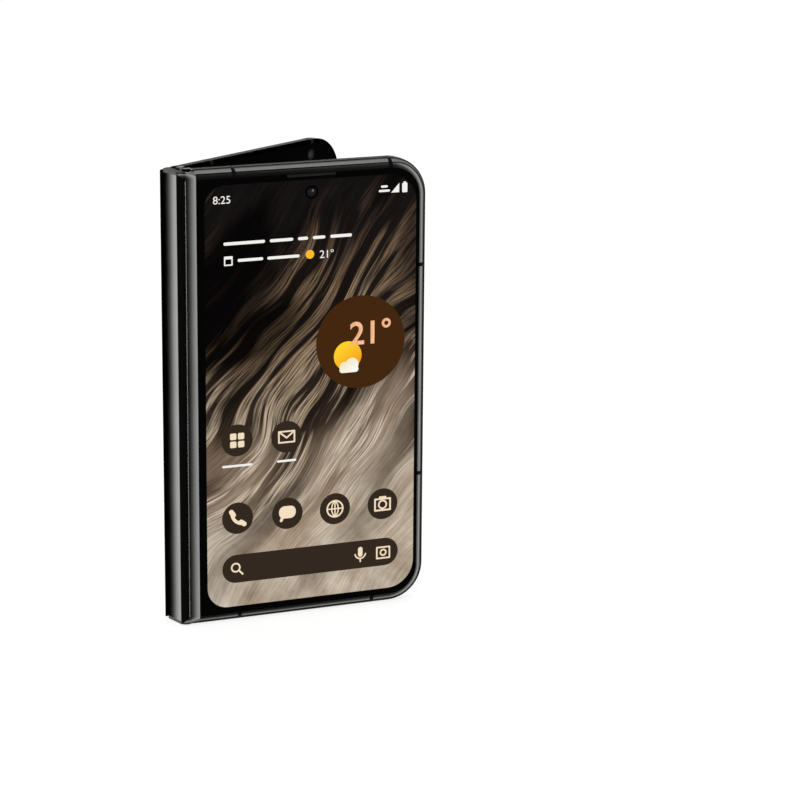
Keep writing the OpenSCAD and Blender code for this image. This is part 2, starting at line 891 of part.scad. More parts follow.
module haptic_motor() {
  color("silver")
    translate([haptic_u, haptic_z, midplate_w1]) {
      cylinder(r = haptic_r, h = cover_panel_w - midplate_w1 - play);
      translate([-haptic_r - haptic_lead / 2, -haptic_lead / 2, 0])
        cube([haptic_lead, haptic_lead, haptic_lead_t]);
    }
}

// The reader that the card tray slides into, open towards the lower edge.
module card_reader() {
  color("silver")
    difference() {
      slab(midplate_w1, cover_panel_w - 0.1)
        plate_outline(tray_u - tray_l / 2 - reader_wall, bay_inset + 2 * key_gap,
          tray_u + tray_l / 2 + reader_wall, tray_depth + 2);
      tray_room();
    }
}

module tray_room() {
  slab(tray_depth_w - tray_t / 2 - key_gap, tray_depth_w + tray_t / 2 + key_gap)
    plate_outline(tray_u - tray_l / 2 + 1 - key_gap, -over, tray_u + tray_l / 2 - 1 + key_gap,
      tray_depth + key_gap);
}

module tray_face(gap) {
  translate([tray_u, -over, tray_depth_w])
    rotate([-90, 0, 0])
      plain_pill(tray_l + 2 * gap, tray_face_w + 2 * gap, tray_face_t + over + gap);
}

module card_tray() {
  color("#2b2c2e")
    difference() {
      union() {
        intersection() {
          tray_face(0);
          half_blank(seam_u);
        }
        slab(tray_depth_w - tray_t / 2, tray_depth_w + tray_t / 2)
          plate_outline(tray_u - tray_l / 2 + 1, tray_face_t / 2,
            tray_u + tray_l / 2 - 1, tray_depth, 1, 1);
      }
      slab(tray_depth_w - tray_t / 2 + 0.3, half_t)
        plate_outline(tray_u - 4.4, tray_face_t + 1, tray_u + 4.4, tray_depth - 1, 0.4, 0.4);
      translate([tray_u + tray_l / 2 - 1.1, -over, tray_depth_w])
        rotate([-90, 0, 0]) cylinder(r = 0.35, h = tray_face_t + 2 * over);
    }
}

module front_frame() {
  color("#2b2c2e")
    difference() {
      casing(front_bands_top, front_bands_bottom);
      slab(cover_panel_w - play, glass_w + over) cover_panel_outline(glass_gap);
      earpiece_slot(glass_gap);
      tray_room();
      tray_face(key_gap);
      translate([front_mic_u, -over, tray_depth_w])
        rotate([-90, 0, 0]) cylinder(r = mic_r, h = bay_inset + 2);
    }
}

// ---- Pieces of the rear half ----

module bar_place(u) {
  translate([u, bar_z, 0]) children();
}

module bar_half_section() {
  polygon([
    [0, 0], [bar_h / 2, 0], [bar_h / 2, bar_proud - bar_chamfer],
    [bar_h / 2 - bar_chamfer, bar_proud], [0, bar_proud]]);
}

module camera_bar() {
  color("#303134")
    difference() {
      bar_place(bar_u) translate([0, 0, half_t]) pill(bar_l - bar_h) bar_half_section();
      bar_place(window_u)
        translate([0, 0, half_t + bar_proud - window_t]) plain_pill(window_l, window_h, window_t + over);
      for (u = lens_u)
        bar_place(u)
          translate([0, 0, half_t - over]) cylinder(r = barrel_r[0] + barrel_gap, h = bar_proud + over);
      bar_place(flash_u) translate([0, 0, half_t - over]) cylinder(r = flash_r, h = bar_proud + 2 * over);
    }
}

module camera_window() {
  color("#0c0c0e")
    bar_place(window_u)
      translate([0, 0, half_t + bar_proud - window_t])
        plain_pill(window_l - 2 * glass_gap, window_h - 2 * glass_gap, window_t);
}

// A camera: a square sensor housing with a stepped barrel under the window.
module camera_module(i) {
  top = half_t + bar_proud - window_t;
  housing = camera_housing[i];
  color("#1a1a1c")
    bar_place(lens_u[i])
      difference() {
        union() {
          translate([0, 0, midplate_w1]) cylinder(r = barrel_r[i], h = top - midplate_w1 - play);
          translate([-housing / 2, -housing / 2, midplate_w1 + board_t])
            cube([housing, housing, glass_w - midplate_w1 - board_t - play]);
        }
        translate([0, 0, top - cone_depth])
          cylinder(r1 = barrel_r[i] * 0.35, r2 = barrel_r[i] * 0.75, h = cone_depth);
      }
}

module flash_lens() {
  color("ivory")
    bar_place(flash_u)
      translate([0, 0, glass_w - flash_root])
        cylinder(r = flash_r - glass_gap, h = flash_root + glass_t + bar_proud - flash_recess);
}

module back_glass() {
  color("#141416")
    slab(glass_w, half_t)
      difference() {
        glass_outline();
        for (u = lens_u) translate([u, bar_z]) circle(barrel_r[0] + 2 * barrel_gap);
        translate([flash_u, bar_z]) circle(flash_r + glass_gap);
      }
}

module charging_coil() {
  color("peru")
    translate([(battery_u0 + battery_u1) / 2, (rear_battery_z[0] + rear_battery_z[1]) / 2,
        glass_w - coil_t])
      for (i = [0 : coil_turns - 1])
        difference() {
          cylinder(r = coil_inner_r + i * coil_pitch + coil_wire, h = coil_t);
          translate([0, 0, -over]) cylinder(r = coil_inner_r + i * coil_pitch, h = coil_t + 2 * over);
        }
}

module main_board() {
  color("darkgreen")
    slab(midplate_w1, midplate_w1 + board_t)
      difference() {
        plate_outline(board_u0, main_board_z0, main_board_u1, board_top, board_free_r, board_fold_r);
        for (u = lens_u) translate([u, bar_z]) circle(barrel_r[0] + 3 * barrel_gap);
        translate([flash_u, bar_z]) circle(flash_r + barrel_gap);
      }
}

module main_board_shields() {
  z0 = main_board_z0 + shield_edge;
  low_top = bar_z - camera_band / 2;
  color("silver")
    slab(midplate_w1 + board_t, midplate_w1 + board_t + shield_t) {
      plate_outline(board_u0 + shield_edge, z0, main_board_mid - shield_gap, low_top, shield_r, shield_r);
      plate_outline(main_board_mid + shield_gap, z0, main_board_u1 - shield_edge, low_top,
        shield_r, shield_r);
      plate_outline(board_u0 + board_free_r, bar_z + camera_band / 2, main_board_u1 - 2 * board_free_r,
        board_top - shield_edge, shield_r, shield_r);
    }
}

module socket_outline(gap) {
  translate([socket_u, 0, socket_depth_w])
    rotate([-90, 0, 0])
      translate([0, 0, -over]) plain_pill(socket_w + 2 * gap, socket_h + 2 * gap, socket_l + over);
}

// The charging socket: a shell with a tongue, open to the lower edge.
module charging_socket() {
  color("silver") {
    difference() {
      intersection() {
        socket_outline(0);
        translate([socket_u - socket_w, socket_set, 0]) cube([2 * socket_w, socket_l, half_t]);
      }
      translate([socket_u, 0, socket_depth_w])
        rotate([-90, 0, 0])
          plain_pill(socket_w - 2 * socket_wall, socket_h - 2 * socket_wall, socket_l - socket_wall * 2);
    }
    translate([socket_u - tongue_w / 2, tongue_z, socket_depth_w - tongue_t / 2])
      cube([tongue_w, socket_l - tongue_z - socket_wall, tongue_t]);
  }
}

module speaker_hole_places() {
  for (i = [0 : speaker_holes - 1])
    translate([speaker_u + (i - (speaker_holes - 1) / 2) * speaker_pitch, 0, mic_w]) children();
}

module loudspeaker() {
  color("#202124")
    slab(midplate_w1, glass_w - play)
      plate_outline(speaker_u + speaker_box[0], bay_inset + key_gap,
        speaker_u + speaker_box[1], speaker_box_z, 3, 1);
}

module key_room(z, l) {
  translate([half_w + over, z, key_depth])
    rotate([0, -90, 0]) rotate([0, 0, 90])
      plain_pill(l + 2 * key_gap, key_w + 2 * key_gap, key_wall + over + play);
  translate([half_w - bay_inset - over, z - l / 2 - key_flange_lap - key_gap,
      key_depth - key_w / 2 - key_gap])
    cube([bay_inset - key_wall + over, l + 2 * key_flange_lap + 2 * key_gap, key_w + 2 * key_gap]);
}

module key(z, l) {
  translate([half_w + key_proud, z, key_depth])
    rotate([0, -90, 0]) rotate([0, 0, 90]) pill(l - key_w) key_half_section();
  translate([half_w - key_flange_s - key_flange_t, z - l / 2 - key_flange_lap, key_depth - key_w / 2])
    cube([key_flange_t, l + 2 * key_flange_lap, key_w]);
}

module key_half_section() {
  soft = 0.15;
  polygon([
    [0, 0], [key_w / 2 - soft, 0], [key_w / 2, soft],
    [key_w / 2, key_flange_s + key_proud], [0, key_flange_s + key_proud]]);
}

module power_key() {
  color("#2f3032") key(power_z, power_l);
}

module volume_key() {
  color("#2f3032") key(volume_z, volume_l);
}

// Dome switches behind the keys, one for power and two for volume.
module key_switches() {
  top_u = half_w - key_flange_s - key_flange_t - key_travel - play;
  color("silver")
    for (z = [power_z, volume_z - volume_l / 3, volume_z + volume_l / 3])
      translate([half_w - bay_inset - switch_base, z - switch_l / 2, key_depth - switch_w / 2])
        cube([top_u - half_w + bay_inset + switch_base, switch_l, switch_w]);
}

module inner_camera() {
  color("#101012")
    translate([inner_camera_u, inner_camera_z, play]) cylinder(r = inner_camera_r, h = bezel_t - play);
}

// The rear half's bezel has a window for the inner camera.
module rear_bezel() {
  difference() {
    bezel();
    translate([inner_camera_u, inner_camera_z, -over])
      cylinder(r = inner_camera_r + glass_gap, h = bezel_t + 2 * over);
  }
}

module rear_frame() {
  color("#2b2c2e")
    difference() {
      casing(rear_bands_top, rear_bands_bottom);
      socket_outline(play);
      speaker_hole_places()
        translate([0, -over, 0]) rotate([-90, 0, 0]) cylinder(r = speaker_hole_r, h = bay_inset + 2);
      translate([rear_mic_u, -over, mic_w]) rotate([-90, 0, 0]) cylinder(r = mic_r, h = bay_inset + 2);
      translate([top_mic_u, body_h - bay_inset - over, mic_w])
        rotate([-90, 0, 0]) cylinder(r = mic_r, h = bay_inset + 2 * over);
      key_room(power_z, power_l);
      key_room(volume_z, volume_l);
    }
}

in_spine() spine_cover();
in_spine() spine_end_caps();
in_spine() hinge_chassis();
in_spine() idler_pins();
in_spine() cam_followers();
in_spine() spring_washers();
in_spine() chassis_screws();
in_spine() spine_beam();
front_idlers();
rear_idlers();
in_front_half() front_frame();
in_front_half() notched_rail();  // front_hinge_rail
in_front_half() bands(front_bands_top, front_bands_bottom);  // front_bands
in_front_half() cover_glass();
in_front_half() cover_display();
in_front_half() cover_camera();
in_front_half() earpiece_mesh();
in_front_half() battery(front_battery_z, front_battery_t, 1);  // front_battery
in_front_half() front_board();
in_front_half() front_board_shields();
in_front_half() haptic_motor();
in_front_half() card_reader();
in_front_half() bezel();  // front_bezel
in_front_half() inner_display();  // front_inner_display
in_front_half() fold_display();  // front_fold_display
in_front_half() hinge_arms();  // front_arms
in_front_half() shaft_gears(0);  // front_gears
in_front_half() hinge_shafts();  // front_shafts
in_front_half() arm_screws();  // front_arm_screws
in_rear_half() rear_frame();
in_rear_half() notched_rail();  // rear_hinge_rail
in_rear_half() bands(rear_bands_top, rear_bands_bottom);  // rear_bands
in_rear_half() back_glass();
in_rear_half() camera_bar();
in_rear_half() camera_window();
in_rear_half() camera_module(0);  // main_camera
in_rear_half() camera_module(1);  // wide_camera
in_rear_half() camera_module(2);  // tele_camera
in_rear_half() flash_lens();
in_rear_half() battery(rear_battery_z, rear_battery_t, -1);  // rear_battery
in_rear_half() charging_coil();
in_rear_half() main_board();
in_rear_half() main_board_shields();
in_rear_half() charging_socket();
in_rear_half() loudspeaker();
in_rear_half() key_switches();
in_rear_half() inner_camera();
in_rear_half() rear_bezel();
in_rear_half() inner_display();  // rear_inner_display
in_rear_half() fold_display();  // rear_fold_display
in_rear_half() hinge_arms();  // rear_arms
in_rear_half() shaft_gears(1);  // rear_gears
in_rear_half() hinge_shafts();  // rear_shafts
in_rear_half() arm_screws();  // rear_arm_screws
in_rear_half() power_key();
in_rear_half() volume_key();
in_front_half() card_tray();
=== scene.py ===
"""Looks of a book-style foldable phone that stands part way open on its lower edges.

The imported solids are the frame. This script gives every one its finish, and models what the
solids leave out: the outer screen's picture and signs, the bending screen and its shrouds, the
lenses and their rings, and the rail beads.
Lengths are metres unless a name or a comment says millimetres, and angles are radians unless it
says degrees.
"""
import json
import math

import bpy
import bmesh
from mathutils import Euler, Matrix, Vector


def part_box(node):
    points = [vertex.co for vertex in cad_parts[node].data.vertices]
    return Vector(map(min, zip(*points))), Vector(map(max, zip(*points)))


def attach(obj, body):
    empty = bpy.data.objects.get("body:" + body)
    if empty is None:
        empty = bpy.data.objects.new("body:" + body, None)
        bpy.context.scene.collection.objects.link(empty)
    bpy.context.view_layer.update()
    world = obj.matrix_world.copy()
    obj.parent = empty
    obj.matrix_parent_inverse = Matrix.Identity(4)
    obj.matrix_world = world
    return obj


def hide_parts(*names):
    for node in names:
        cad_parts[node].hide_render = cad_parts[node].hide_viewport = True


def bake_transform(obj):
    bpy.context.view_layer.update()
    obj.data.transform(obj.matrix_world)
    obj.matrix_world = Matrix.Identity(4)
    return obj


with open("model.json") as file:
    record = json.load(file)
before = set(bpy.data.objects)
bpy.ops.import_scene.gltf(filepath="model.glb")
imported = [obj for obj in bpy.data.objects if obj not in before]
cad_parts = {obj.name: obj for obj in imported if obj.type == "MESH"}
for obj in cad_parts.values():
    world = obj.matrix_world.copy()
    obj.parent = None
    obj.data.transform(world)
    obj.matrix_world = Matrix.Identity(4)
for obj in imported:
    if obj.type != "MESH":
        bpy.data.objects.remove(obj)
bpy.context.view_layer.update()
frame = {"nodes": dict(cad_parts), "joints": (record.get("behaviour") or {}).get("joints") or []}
nodes = frame["nodes"]
MM = 0.001

# ---- Camera ----
# It stands in front of the phone, a little to its left, and looks down on it, so that the spine,
# the outer screen and the upper edges of both halves show.
camera_data = bpy.data.cameras.new("camera")
camera_data.sensor_width = 36
camera_data.lens = 132.5
camera = bpy.data.objects.new("camera", camera_data)
camera.location = (-0.3001, -0.8300, 0.2951)
camera.rotation_euler = Euler([math.radians(turn) for turn in (75.18, -0.47, -22.30)])
bpy.context.collection.objects.link(camera)
bpy.context.scene.camera = camera
bpy.context.scene.view_settings.view_transform = "Standard"


# ---- Studio ----
# A white floor that runs out of view, with the phone's own soft shadow on it. In reflections the
# floor and the world are both a dark room with tall soft light cards, so that polished metal
# shows narrow gradients from light to black. The wall of cards goes round by azimuth in degrees.
floor_size = 6.0
floor_shade = 0.45
floor_glow = 1.45
world_light = 0.5
card_light = 8.0
card_wall = [
    (-180, 0.70), (-171, 0.01), (-66, 0.005), (-57, 0.12), (-46, 0.55), (-34, 0.95), (-17, 0.2),
    (4, 0.55), (33, 0.25), (60, 0.28), (95, 0.24), (112, 0.02), (135, 0.22), (155, 0.65), (168, 0.85),
    (180, 0.70),
]


def seen(tree, ray):
    """1 for rays of a kind, and 0 for the others."""
    return tree.nodes.new("ShaderNodeLightPath").outputs["Is %s Ray" % ray]


def ranged(tree, source, low, high):
    """Low where the source is 0 and high where it is 1."""
    made = tree.nodes.new("ShaderNodeMapRange")
    for socket, value in (("To Min", low), ("To Max", high)):
        if hasattr(value, "links"):
            tree.links.new(value, made.inputs[socket])
        else:
            made.inputs[socket].default_value = value
    tree.links.new(source, made.inputs["Value"])
    return made.outputs["Result"]


def stepped(tree, source, stops):
    """A Color Ramp from places to linear colours."""
    made = tree.nodes.new("ShaderNodeValToRGB")
    elements = made.color_ramp.elements
    while len(elements) < len(stops):
        elements.new(0.5)
    for element, (place, colour) in zip(elements, stops):
        element.position = place
        element.color = colour
    tree.links.new(source, made.inputs["Fac"])
    return made.outputs["Color"]


def grey(value):
    """A linear grey."""
    return (value, value, value, 1)


def mirrored_cards(tree, way):
    """How bright the room's cards are in the direction of a glossy ray, by its azimuth."""
    parts = tree.nodes.new("ShaderNodeSeparateXYZ")
    tree.links.new(way, parts.inputs["Vector"])
    azimuth = tree.nodes.new("ShaderNodeMath")
    azimuth.operation = "ARCTAN2"
    tree.links.new(parts.outputs["Y"], azimuth.inputs[0])
    tree.links.new(parts.outputs["X"], azimuth.inputs[1])
    share = tree.nodes.new("ShaderNodeMapRange")
    share.inputs["From Min"].default_value = -math.pi
    share.inputs["From Max"].default_value = math.pi
    tree.links.new(azimuth.outputs[0], share.inputs["Value"])
    cards = stepped(tree, share.outputs["Result"],
                    [((turn + 180) / 360, grey(value)) for turn, value in card_wall])
    return ranged(tree, cards, 0, card_light)


world = bpy.data.worlds.new("studio")
world.use_nodes = True
bpy.context.scene.world = world
tree = world.node_tree
backdrop = tree.nodes["Background"]
backdrop.inputs["Color"].default_value = (1, 1, 1, 1)
not_mirrored = ranged(tree, seen(tree, "Camera"), world_light, 1)
sky = tree.nodes.new("ShaderNodeTexCoord").outputs["Generated"]
level = ranged(tree, seen(tree, "Glossy"), not_mirrored, mirrored_cards(tree, sky))
tree.links.new(level, backdrop.inputs["Strength"])

bpy.ops.object.select_all(action="DESELECT")
bpy.ops.mesh.primitive_plane_add(size=floor_size, location=(0, 0, 0))
floor = bpy.context.object
floor.name = "floor"
floor_finish = bpy.data.materials.new("floor_paper")
floor_finish.use_nodes = True
tree = floor_finish.node_tree
tree.nodes.clear()
paper = tree.nodes.new("ShaderNodeBsdfDiffuse")
paper.inputs["Color"].default_value = (0.9, 0.9, 0.9, 1)
glow = tree.nodes.new("ShaderNodeEmission")
mirrored = tree.nodes.new("ShaderNodeEmission")
towards = tree.nodes.new("ShaderNodeVectorMath")
towards.operation = "SCALE"
towards.inputs["Scale"].default_value = -1
tree.links.new(tree.nodes.new("ShaderNodeNewGeometry").outputs["Incoming"], towards.inputs[0])
tree.links.new(mirrored_cards(tree, towards.outputs["Vector"]), mirrored.inputs["Strength"])
glow.inputs["Strength"].default_value = floor_glow
lit_floor = tree.nodes.new("ShaderNodeMixShader")
whole_floor = tree.nodes.new("ShaderNodeMixShader")
output = tree.nodes.new("ShaderNodeOutputMaterial")
tree.links.new(ranged(tree, seen(tree, "Camera"), 0, 1 - floor_shade), lit_floor.inputs["Fac"])
tree.links.new(paper.outputs[0], lit_floor.inputs[1])
tree.links.new(glow.outputs[0], lit_floor.inputs[2])
tree.links.new(seen(tree, "Glossy"), whole_floor.inputs["Fac"])
tree.links.new(lit_floor.outputs[0], whole_floor.inputs[1])
tree.links.new(mirrored.outputs[0], whole_floor.inputs[2])
tree.links.new(whole_floor.outputs[0], output.inputs["Surface"])
floor.data.materials.append(floor_finish)


def lamp(name, place, aim, width, height, radiance):
    """A rectangular soft box at place that points at aim."""
    data = bpy.data.lights.new(name, "AREA")
    data.shape = "RECTANGLE"
    data.size = width
    data.size_y = height
    data.energy = radiance * math.pi * width * height
    box = bpy.data.objects.new(name, data)
    box.location = place
    box.rotation_euler = (Vector(aim) - Vector(place)).to_track_quat("-Z", "Y").to_euler()
    box.visible_camera = False
    bpy.context.collection.objects.link(box)


phone_middle = (0, 0, 0.07)
lamp("key_box", (-0.55, -0.95, 1.0), phone_middle, 0.6, 0.6, 3.0)
lamp("top_box", (0.25, 0.35, 1.1), phone_middle, 0.7, 0.5, 2.0)


# ---- Black metal: frames, hinge rails, camera bar, keys and card tray ----
# Die-cast and milled aluminium, polished and anodised black. Handling leaves faint smears in the
# gloss, and the milling leaves a very fine grain.
def new_group(name, inputs, outputs):
    """A shader node group with its sockets, and its input and output nodes."""
    group = bpy.data.node_groups.new(name, "ShaderNodeTree")
    for socket, kind in inputs.items():
        group.interface.new_socket(name=socket, in_out="INPUT", socket_type="NodeSocket" + kind)
    for socket, kind in outputs.items():
        group.interface.new_socket(name=socket, in_out="OUTPUT", socket_type="NodeSocket" + kind)
    return group, group.nodes.new("NodeGroupInput"), group.nodes.new("NodeGroupOutput")


handled, given, made = new_group(
    "handled_surface",
    {"Base": "Color", "Lighter": "Color", "Smear Scale": "Float", "Roughness": "Float",
     "Spread": "Float", "Grain Scale": "Float", "Grain Depth": "Float"},
    {"Color": "Color", "Roughness": "Float", "Normal": "Vector"},
)
place = handled.nodes.new("ShaderNodeTexCoord")
smear = handled.nodes.new("ShaderNodeTexNoise")
smear.inputs["Detail"].default_value = 5
smear.inputs["Distortion"].default_value = 0.4
handled.links.new(place.outputs["Object"], smear.inputs["Vector"])
handled.links.new(given.outputs["Smear Scale"], smear.inputs["Scale"])
tint = handled.nodes.new("ShaderNodeMix")
tint.data_type = "RGBA"
handled.links.new(smear.outputs["Fac"], tint.inputs["Factor"])
handled.links.new(given.outputs["Base"], tint.inputs["A"])
handled.links.new(given.outputs["Lighter"], tint.inputs["B"])
handled.links.new(tint.outputs["Result"], made.inputs["Color"])
centred = handled.nodes.new("ShaderNodeMath")
centred.operation = "SUBTRACT"
centred.inputs[1].default_value = 0.5
handled.links.new(smear.outputs["Fac"], centred.inputs[0])
uneven = handled.nodes.new("ShaderNodeMath")
uneven.operation = "MULTIPLY_ADD"
handled.links.new(centred.outputs[0], uneven.inputs[0])
handled.links.new(given.outputs["Spread"], uneven.inputs[1])
handled.links.new(given.outputs["Roughness"], uneven.inputs[2])
handled.links.new(uneven.outputs[0], made.inputs["Roughness"])
grain = handled.nodes.new("ShaderNodeTexNoise")
grain.inputs["Detail"].default_value = 2
handled.links.new(place.outputs["Object"], grain.inputs["Vector"])
handled.links.new(given.outputs["Grain Scale"], grain.inputs["Scale"])
bump = handled.nodes.new("ShaderNodeBump")
bump.inputs["Distance"].default_value = 0.00001
handled.links.new(given.outputs["Grain Depth"], bump.inputs["Strength"])
handled.links.new(grain.outputs["Fac"], bump.inputs["Height"])
handled.links.new(bump.outputs["Normal"], made.inputs["Normal"])


def linear(code):
    """A colour written as #rrggbb, as the shader's linear colour."""
    parts = [int(code[i:i + 2], 16) / 255 for i in (1, 3, 5)]
    return [p / 12.92 if p <= 0.04045 else ((p + 0.055) / 1.055) ** 2.4 for p in parts] + [1]


def finish(name, base, lighter, roughness, spread=0.08, smear_scale=60, grain_scale=4000,
           grain_depth=0.15, metallic=0.0, specular=0.5, coat=0.0, edge=None):
    """A material whose colour, gloss and fine grain vary as on a handled surface."""
    material = bpy.data.materials.new(name)
    material.use_nodes = True
    tree = material.node_tree
    shader = tree.nodes["Principled BSDF"]
    surface = tree.nodes.new("ShaderNodeGroup")
    surface.node_tree = handled
    surface.inputs["Base"].default_value = linear(base)
    surface.inputs["Lighter"].default_value = linear(lighter)
    surface.inputs["Smear Scale"].default_value = smear_scale
    surface.inputs["Roughness"].default_value = roughness
    surface.inputs["Spread"].default_value = spread
    surface.inputs["Grain Scale"].default_value = grain_scale
    surface.inputs["Grain Depth"].default_value = grain_depth
    tree.links.new(surface.outputs["Color"], shader.inputs["Base Color"])
    tree.links.new(surface.outputs["Roughness"], shader.inputs["Roughness"])
    tree.links.new(surface.outputs["Normal"], shader.inputs["Normal"])
    shader.inputs["Metallic"].default_value = metallic
    shader.inputs["Specular IOR Level"].default_value = specular
    shader.inputs["Coat Weight"].default_value = coat
    if edge:
        shader.inputs["Specular Tint"].default_value = linear(edge)
    return material


def dress(material, *names):
    """Gives the named CAD nodes a material."""
    for name in names:
        for slot in nodes[name].material_slots:
            slot.material = material


def calmed(material):
    """Fades a clear surface's mirror at glancing angles, where the bright cards would hide it."""
    tree = material.node_tree
    mirror = tree.nodes["Principled BSDF"].inputs["Specular IOR Level"]
    fade = tree.nodes.new("ShaderNodeMapRange")
    for socket, value in (("From Min", 0.45), ("From Max", 0.8), ("To Min", mirror.default_value),
                          ("To Max", 0.0)):
        fade.inputs[socket].default_value = value
    tree.links.new(tree.nodes.new("ShaderNodeLayerWeight").outputs["Facing"], fade.inputs["Value"])
    tree.links.new(fade.outputs["Result"], mirror)
    return material


def distance_along(tree, start, way):
    """How far a shaded point lies from start along a way."""
    offset = tree.nodes.new("ShaderNodeVectorMath")
    offset.operation = "SUBTRACT"
    offset.inputs[1].default_value = start
    tree.links.new(tree.nodes.new("ShaderNodeTexCoord").outputs["Object"], offset.inputs[0])
    along = tree.nodes.new("ShaderNodeVectorMath")
    along.operation = "DOT_PRODUCT"
    along.inputs[1].default_value = way
    tree.links.new(offset.outputs["Vector"], along.inputs[0])
    return along.outputs["Value"]


def crown(material, start, way, reach, angle, one_sided=False):
    """Bends a flat face's shading as a low crown does: by an angle in degrees at its reach."""
    tree = material.node_tree
    least = tree.nodes.new("ShaderNodeMath")
    least.operation = "MAXIMUM"
    least.inputs[1].default_value = 0 if one_sided else -1
    tree.links.new(distance_along(tree, start, way), least.inputs[0])
    square = tree.nodes.new("ShaderNodeMath")
    square.operation = "MULTIPLY"
    tree.links.new(least.outputs[0], square.inputs[0])
    tree.links.new(least.outputs[0], square.inputs[1])
    fall = tree.nodes.new("ShaderNodeMath")
    fall.operation = "MULTIPLY"
    fall.inputs[1].default_value = -math.tan(math.radians(angle)) / reach / 2
    tree.links.new(square.outputs[0], fall.inputs[0])
    rise = tree.nodes.new("ShaderNodeBump")
    rise.inputs["Distance"].default_value = 1
    shader = tree.nodes["Principled BSDF"]
    tree.links.new(fall.outputs[0], rise.inputs["Height"])
    tree.links.new(shader.inputs["Normal"].links[0].from_socket, rise.inputs["Normal"])
    tree.links.new(rise.outputs["Normal"], shader.inputs["Normal"])
    return material


def dark_lip_and_painted_dark_line(material, start, way, outer, thickness, stops):
    """Darkens a rim's colour and reflection by depth below the outer face: a painted dark line stands
    for a dark reflection near the shoulder, and the inner lip is dark as a black lip is, with painted
    shade on its rounded side. Stops are depths in mm and shades of grey.
    """
    tree = material.node_tree
    depth = tree.nodes.new("ShaderNodeMapRange")
    depth.inputs["From Min"].default_value = outer
    depth.inputs["From Max"].default_value = outer - thickness
    tree.links.new(distance_along(tree, start, way), depth.inputs["Value"])
    shades = stepped(tree, depth.outputs["Result"],
                     [(below * MM / thickness, grey(shade)) for below, shade in stops])
    for name in ("Base Color", "Specular Tint"):
        tinted = tree.nodes["Principled BSDF"].inputs[name]
        darker = tree.nodes.new("ShaderNodeMix")
        darker.data_type = "RGBA"
        darker.blend_type = "MULTIPLY"
        darker.inputs["Factor"].default_value = 1
        if tinted.links:
            tree.links.new(tinted.links[0].from_socket, darker.inputs["A"])
        else:
            darker.inputs["A"].default_value = tinted.default_value
        tree.links.new(shades, darker.inputs["B"])
        tree.links.new(darker.outputs["Result"], tinted)
    return material


joint_at = {joint["name"]: Vector(joint["pos_m"]) for joint in frame["joints"] if "pos_m" in joint}
open_angle = math.radians(31)
axis_half = 2.475 * MM
rail_l = 3.275 * MM
half_t = 5.8 * MM
lip_outer_r = 3.575 * MM
# The rims' painted dark line just under the outer face is a painted dark reflection; their inner lip is
# dark as a black lip is, with painted shade. Depths in mm and shades of grey.
rim_lip_and_painted_line_stops = [(0.0, 1.0), (0.36, 1.0), (0.42, 0.04), (0.60, 0.04), (0.66, 1.0), (4.75, 1.0),
             (4.9, 0.06), (5.8, 0.06)]
front_way = Vector((1, 0, 0))
front_out = Vector((0, -1, 0))
rear_way = Vector((math.cos(open_angle), math.sin(open_angle), 0))
back_out = Vector((-math.sin(open_angle), math.cos(open_angle), 0))
black = {"base": "#393938", "lighter": "#434342", "roughness": 0.20, "metallic": 1.0,
         "edge": "#8a8a89"}
black_metal = finish("black_metal", **black)
dress(black_metal, "camera_bar", "power_key", "volume_key", "card_tray")
for half, way, out in (("front", front_way, front_out), ("rear", rear_way, back_out)):
    axis = joint_at[half + "_fold"]
    rail = crown(finish(half + "_rail_metal", **black), axis, way, rail_l, 18, True)
    dress(rail, half + "_hinge_rail")
    # Each rim gets its painted dark reflection line and its dark inner lip with painted shade.
    rim = dark_lip_and_painted_dark_line(finish(half + "_rim_metal_dark_lip_painted_line", **black), axis, out, lip_outer_r, half_t, rim_lip_and_painted_line_stops)
    dress(rim, half + "_frame")


# ---- Broken edges ----
# Every visible edge of the metal and glass is broken, as the real ones are, and catches light.
def broken_edges(width, *names):
    """A small round on a node's sharp edges."""
    for name in names:
        edges = nodes[name].modifiers.new("broken_edges", "BEVEL")
        edges.width = width
        edges.segments = 2
        edges.limit_method = "ANGLE"
        edges.angle_limit = math.radians(50)


broken_edges(0.10 * MM, "front_frame", "rear_frame", "front_hinge_rail", "rear_hinge_rail",
             "camera_bar", "power_key", "volume_key", "spine_end_caps")

# ---- Spine: its cover and end caps ----
# A drawn steel channel, polished to a mirror under a smoked coating, closed by a cast cap at
# each end.
spine_coat = {"base": "#414140", "lighter": "#4b4b4a", "roughness": 0.20, "metallic": 1.0,
              "edge": "#8a8a89"}
spine_way = joint_at["front_fold"] - joint_at["rear_fold"]
spine_middle = (joint_at["front_fold"] + joint_at["rear_fold"]) / 2
spine_metal = crown(finish("polished_spine", **spine_coat), spine_middle,
                    spine_way.normalized(), axis_half, 13)
dress(spine_metal, "spine_cover")
cap_metal = finish("cap_metal", **spine_coat)
bead_metal = finish("bead_metal", "#6c6c6b", "#777776", 0.25, metallic=1.0)
dress(cap_metal, "spine_end_caps")

# ---- Hinge works, screws, shields and the socket ----
# Machined and stamped steel, left bare. The teeth are sintered brass.
steel = finish("bare_steel", "#7c7d80", "#9a9b9e", 0.32, smear_scale=140, metallic=1.0)
dress(steel, "hinge_chassis", "idler_pins", "cam_followers", "spring_washers", "chassis_screws",
      "spine_beam", "front_board_shields", "haptic_motor", "card_reader", "front_arms",
      "front_shafts", "front_arm_screws", "main_board_shields", "charging_socket", "key_switches",
      "rear_arms", "rear_shafts", "rear_arm_screws")
brass = finish("sintered_brass", "#9c7c42", "#b8975a", 0.38, smear_scale=300, metallic=1.0)
dress(brass, "front_idlers", "rear_idlers", "front_gears", "rear_gears")

# ---- Insulating bands ----
# Glass-filled resin moulded into the gaps of each rim, then milled flush with the metal.
band_resin = finish("band_resin", "#070707", "#0c0c0c", 0.60, grain_scale=2500, grain_depth=0.3,
                    specular=0.02)
dress(band_resin, "front_bands", "rear_bands")

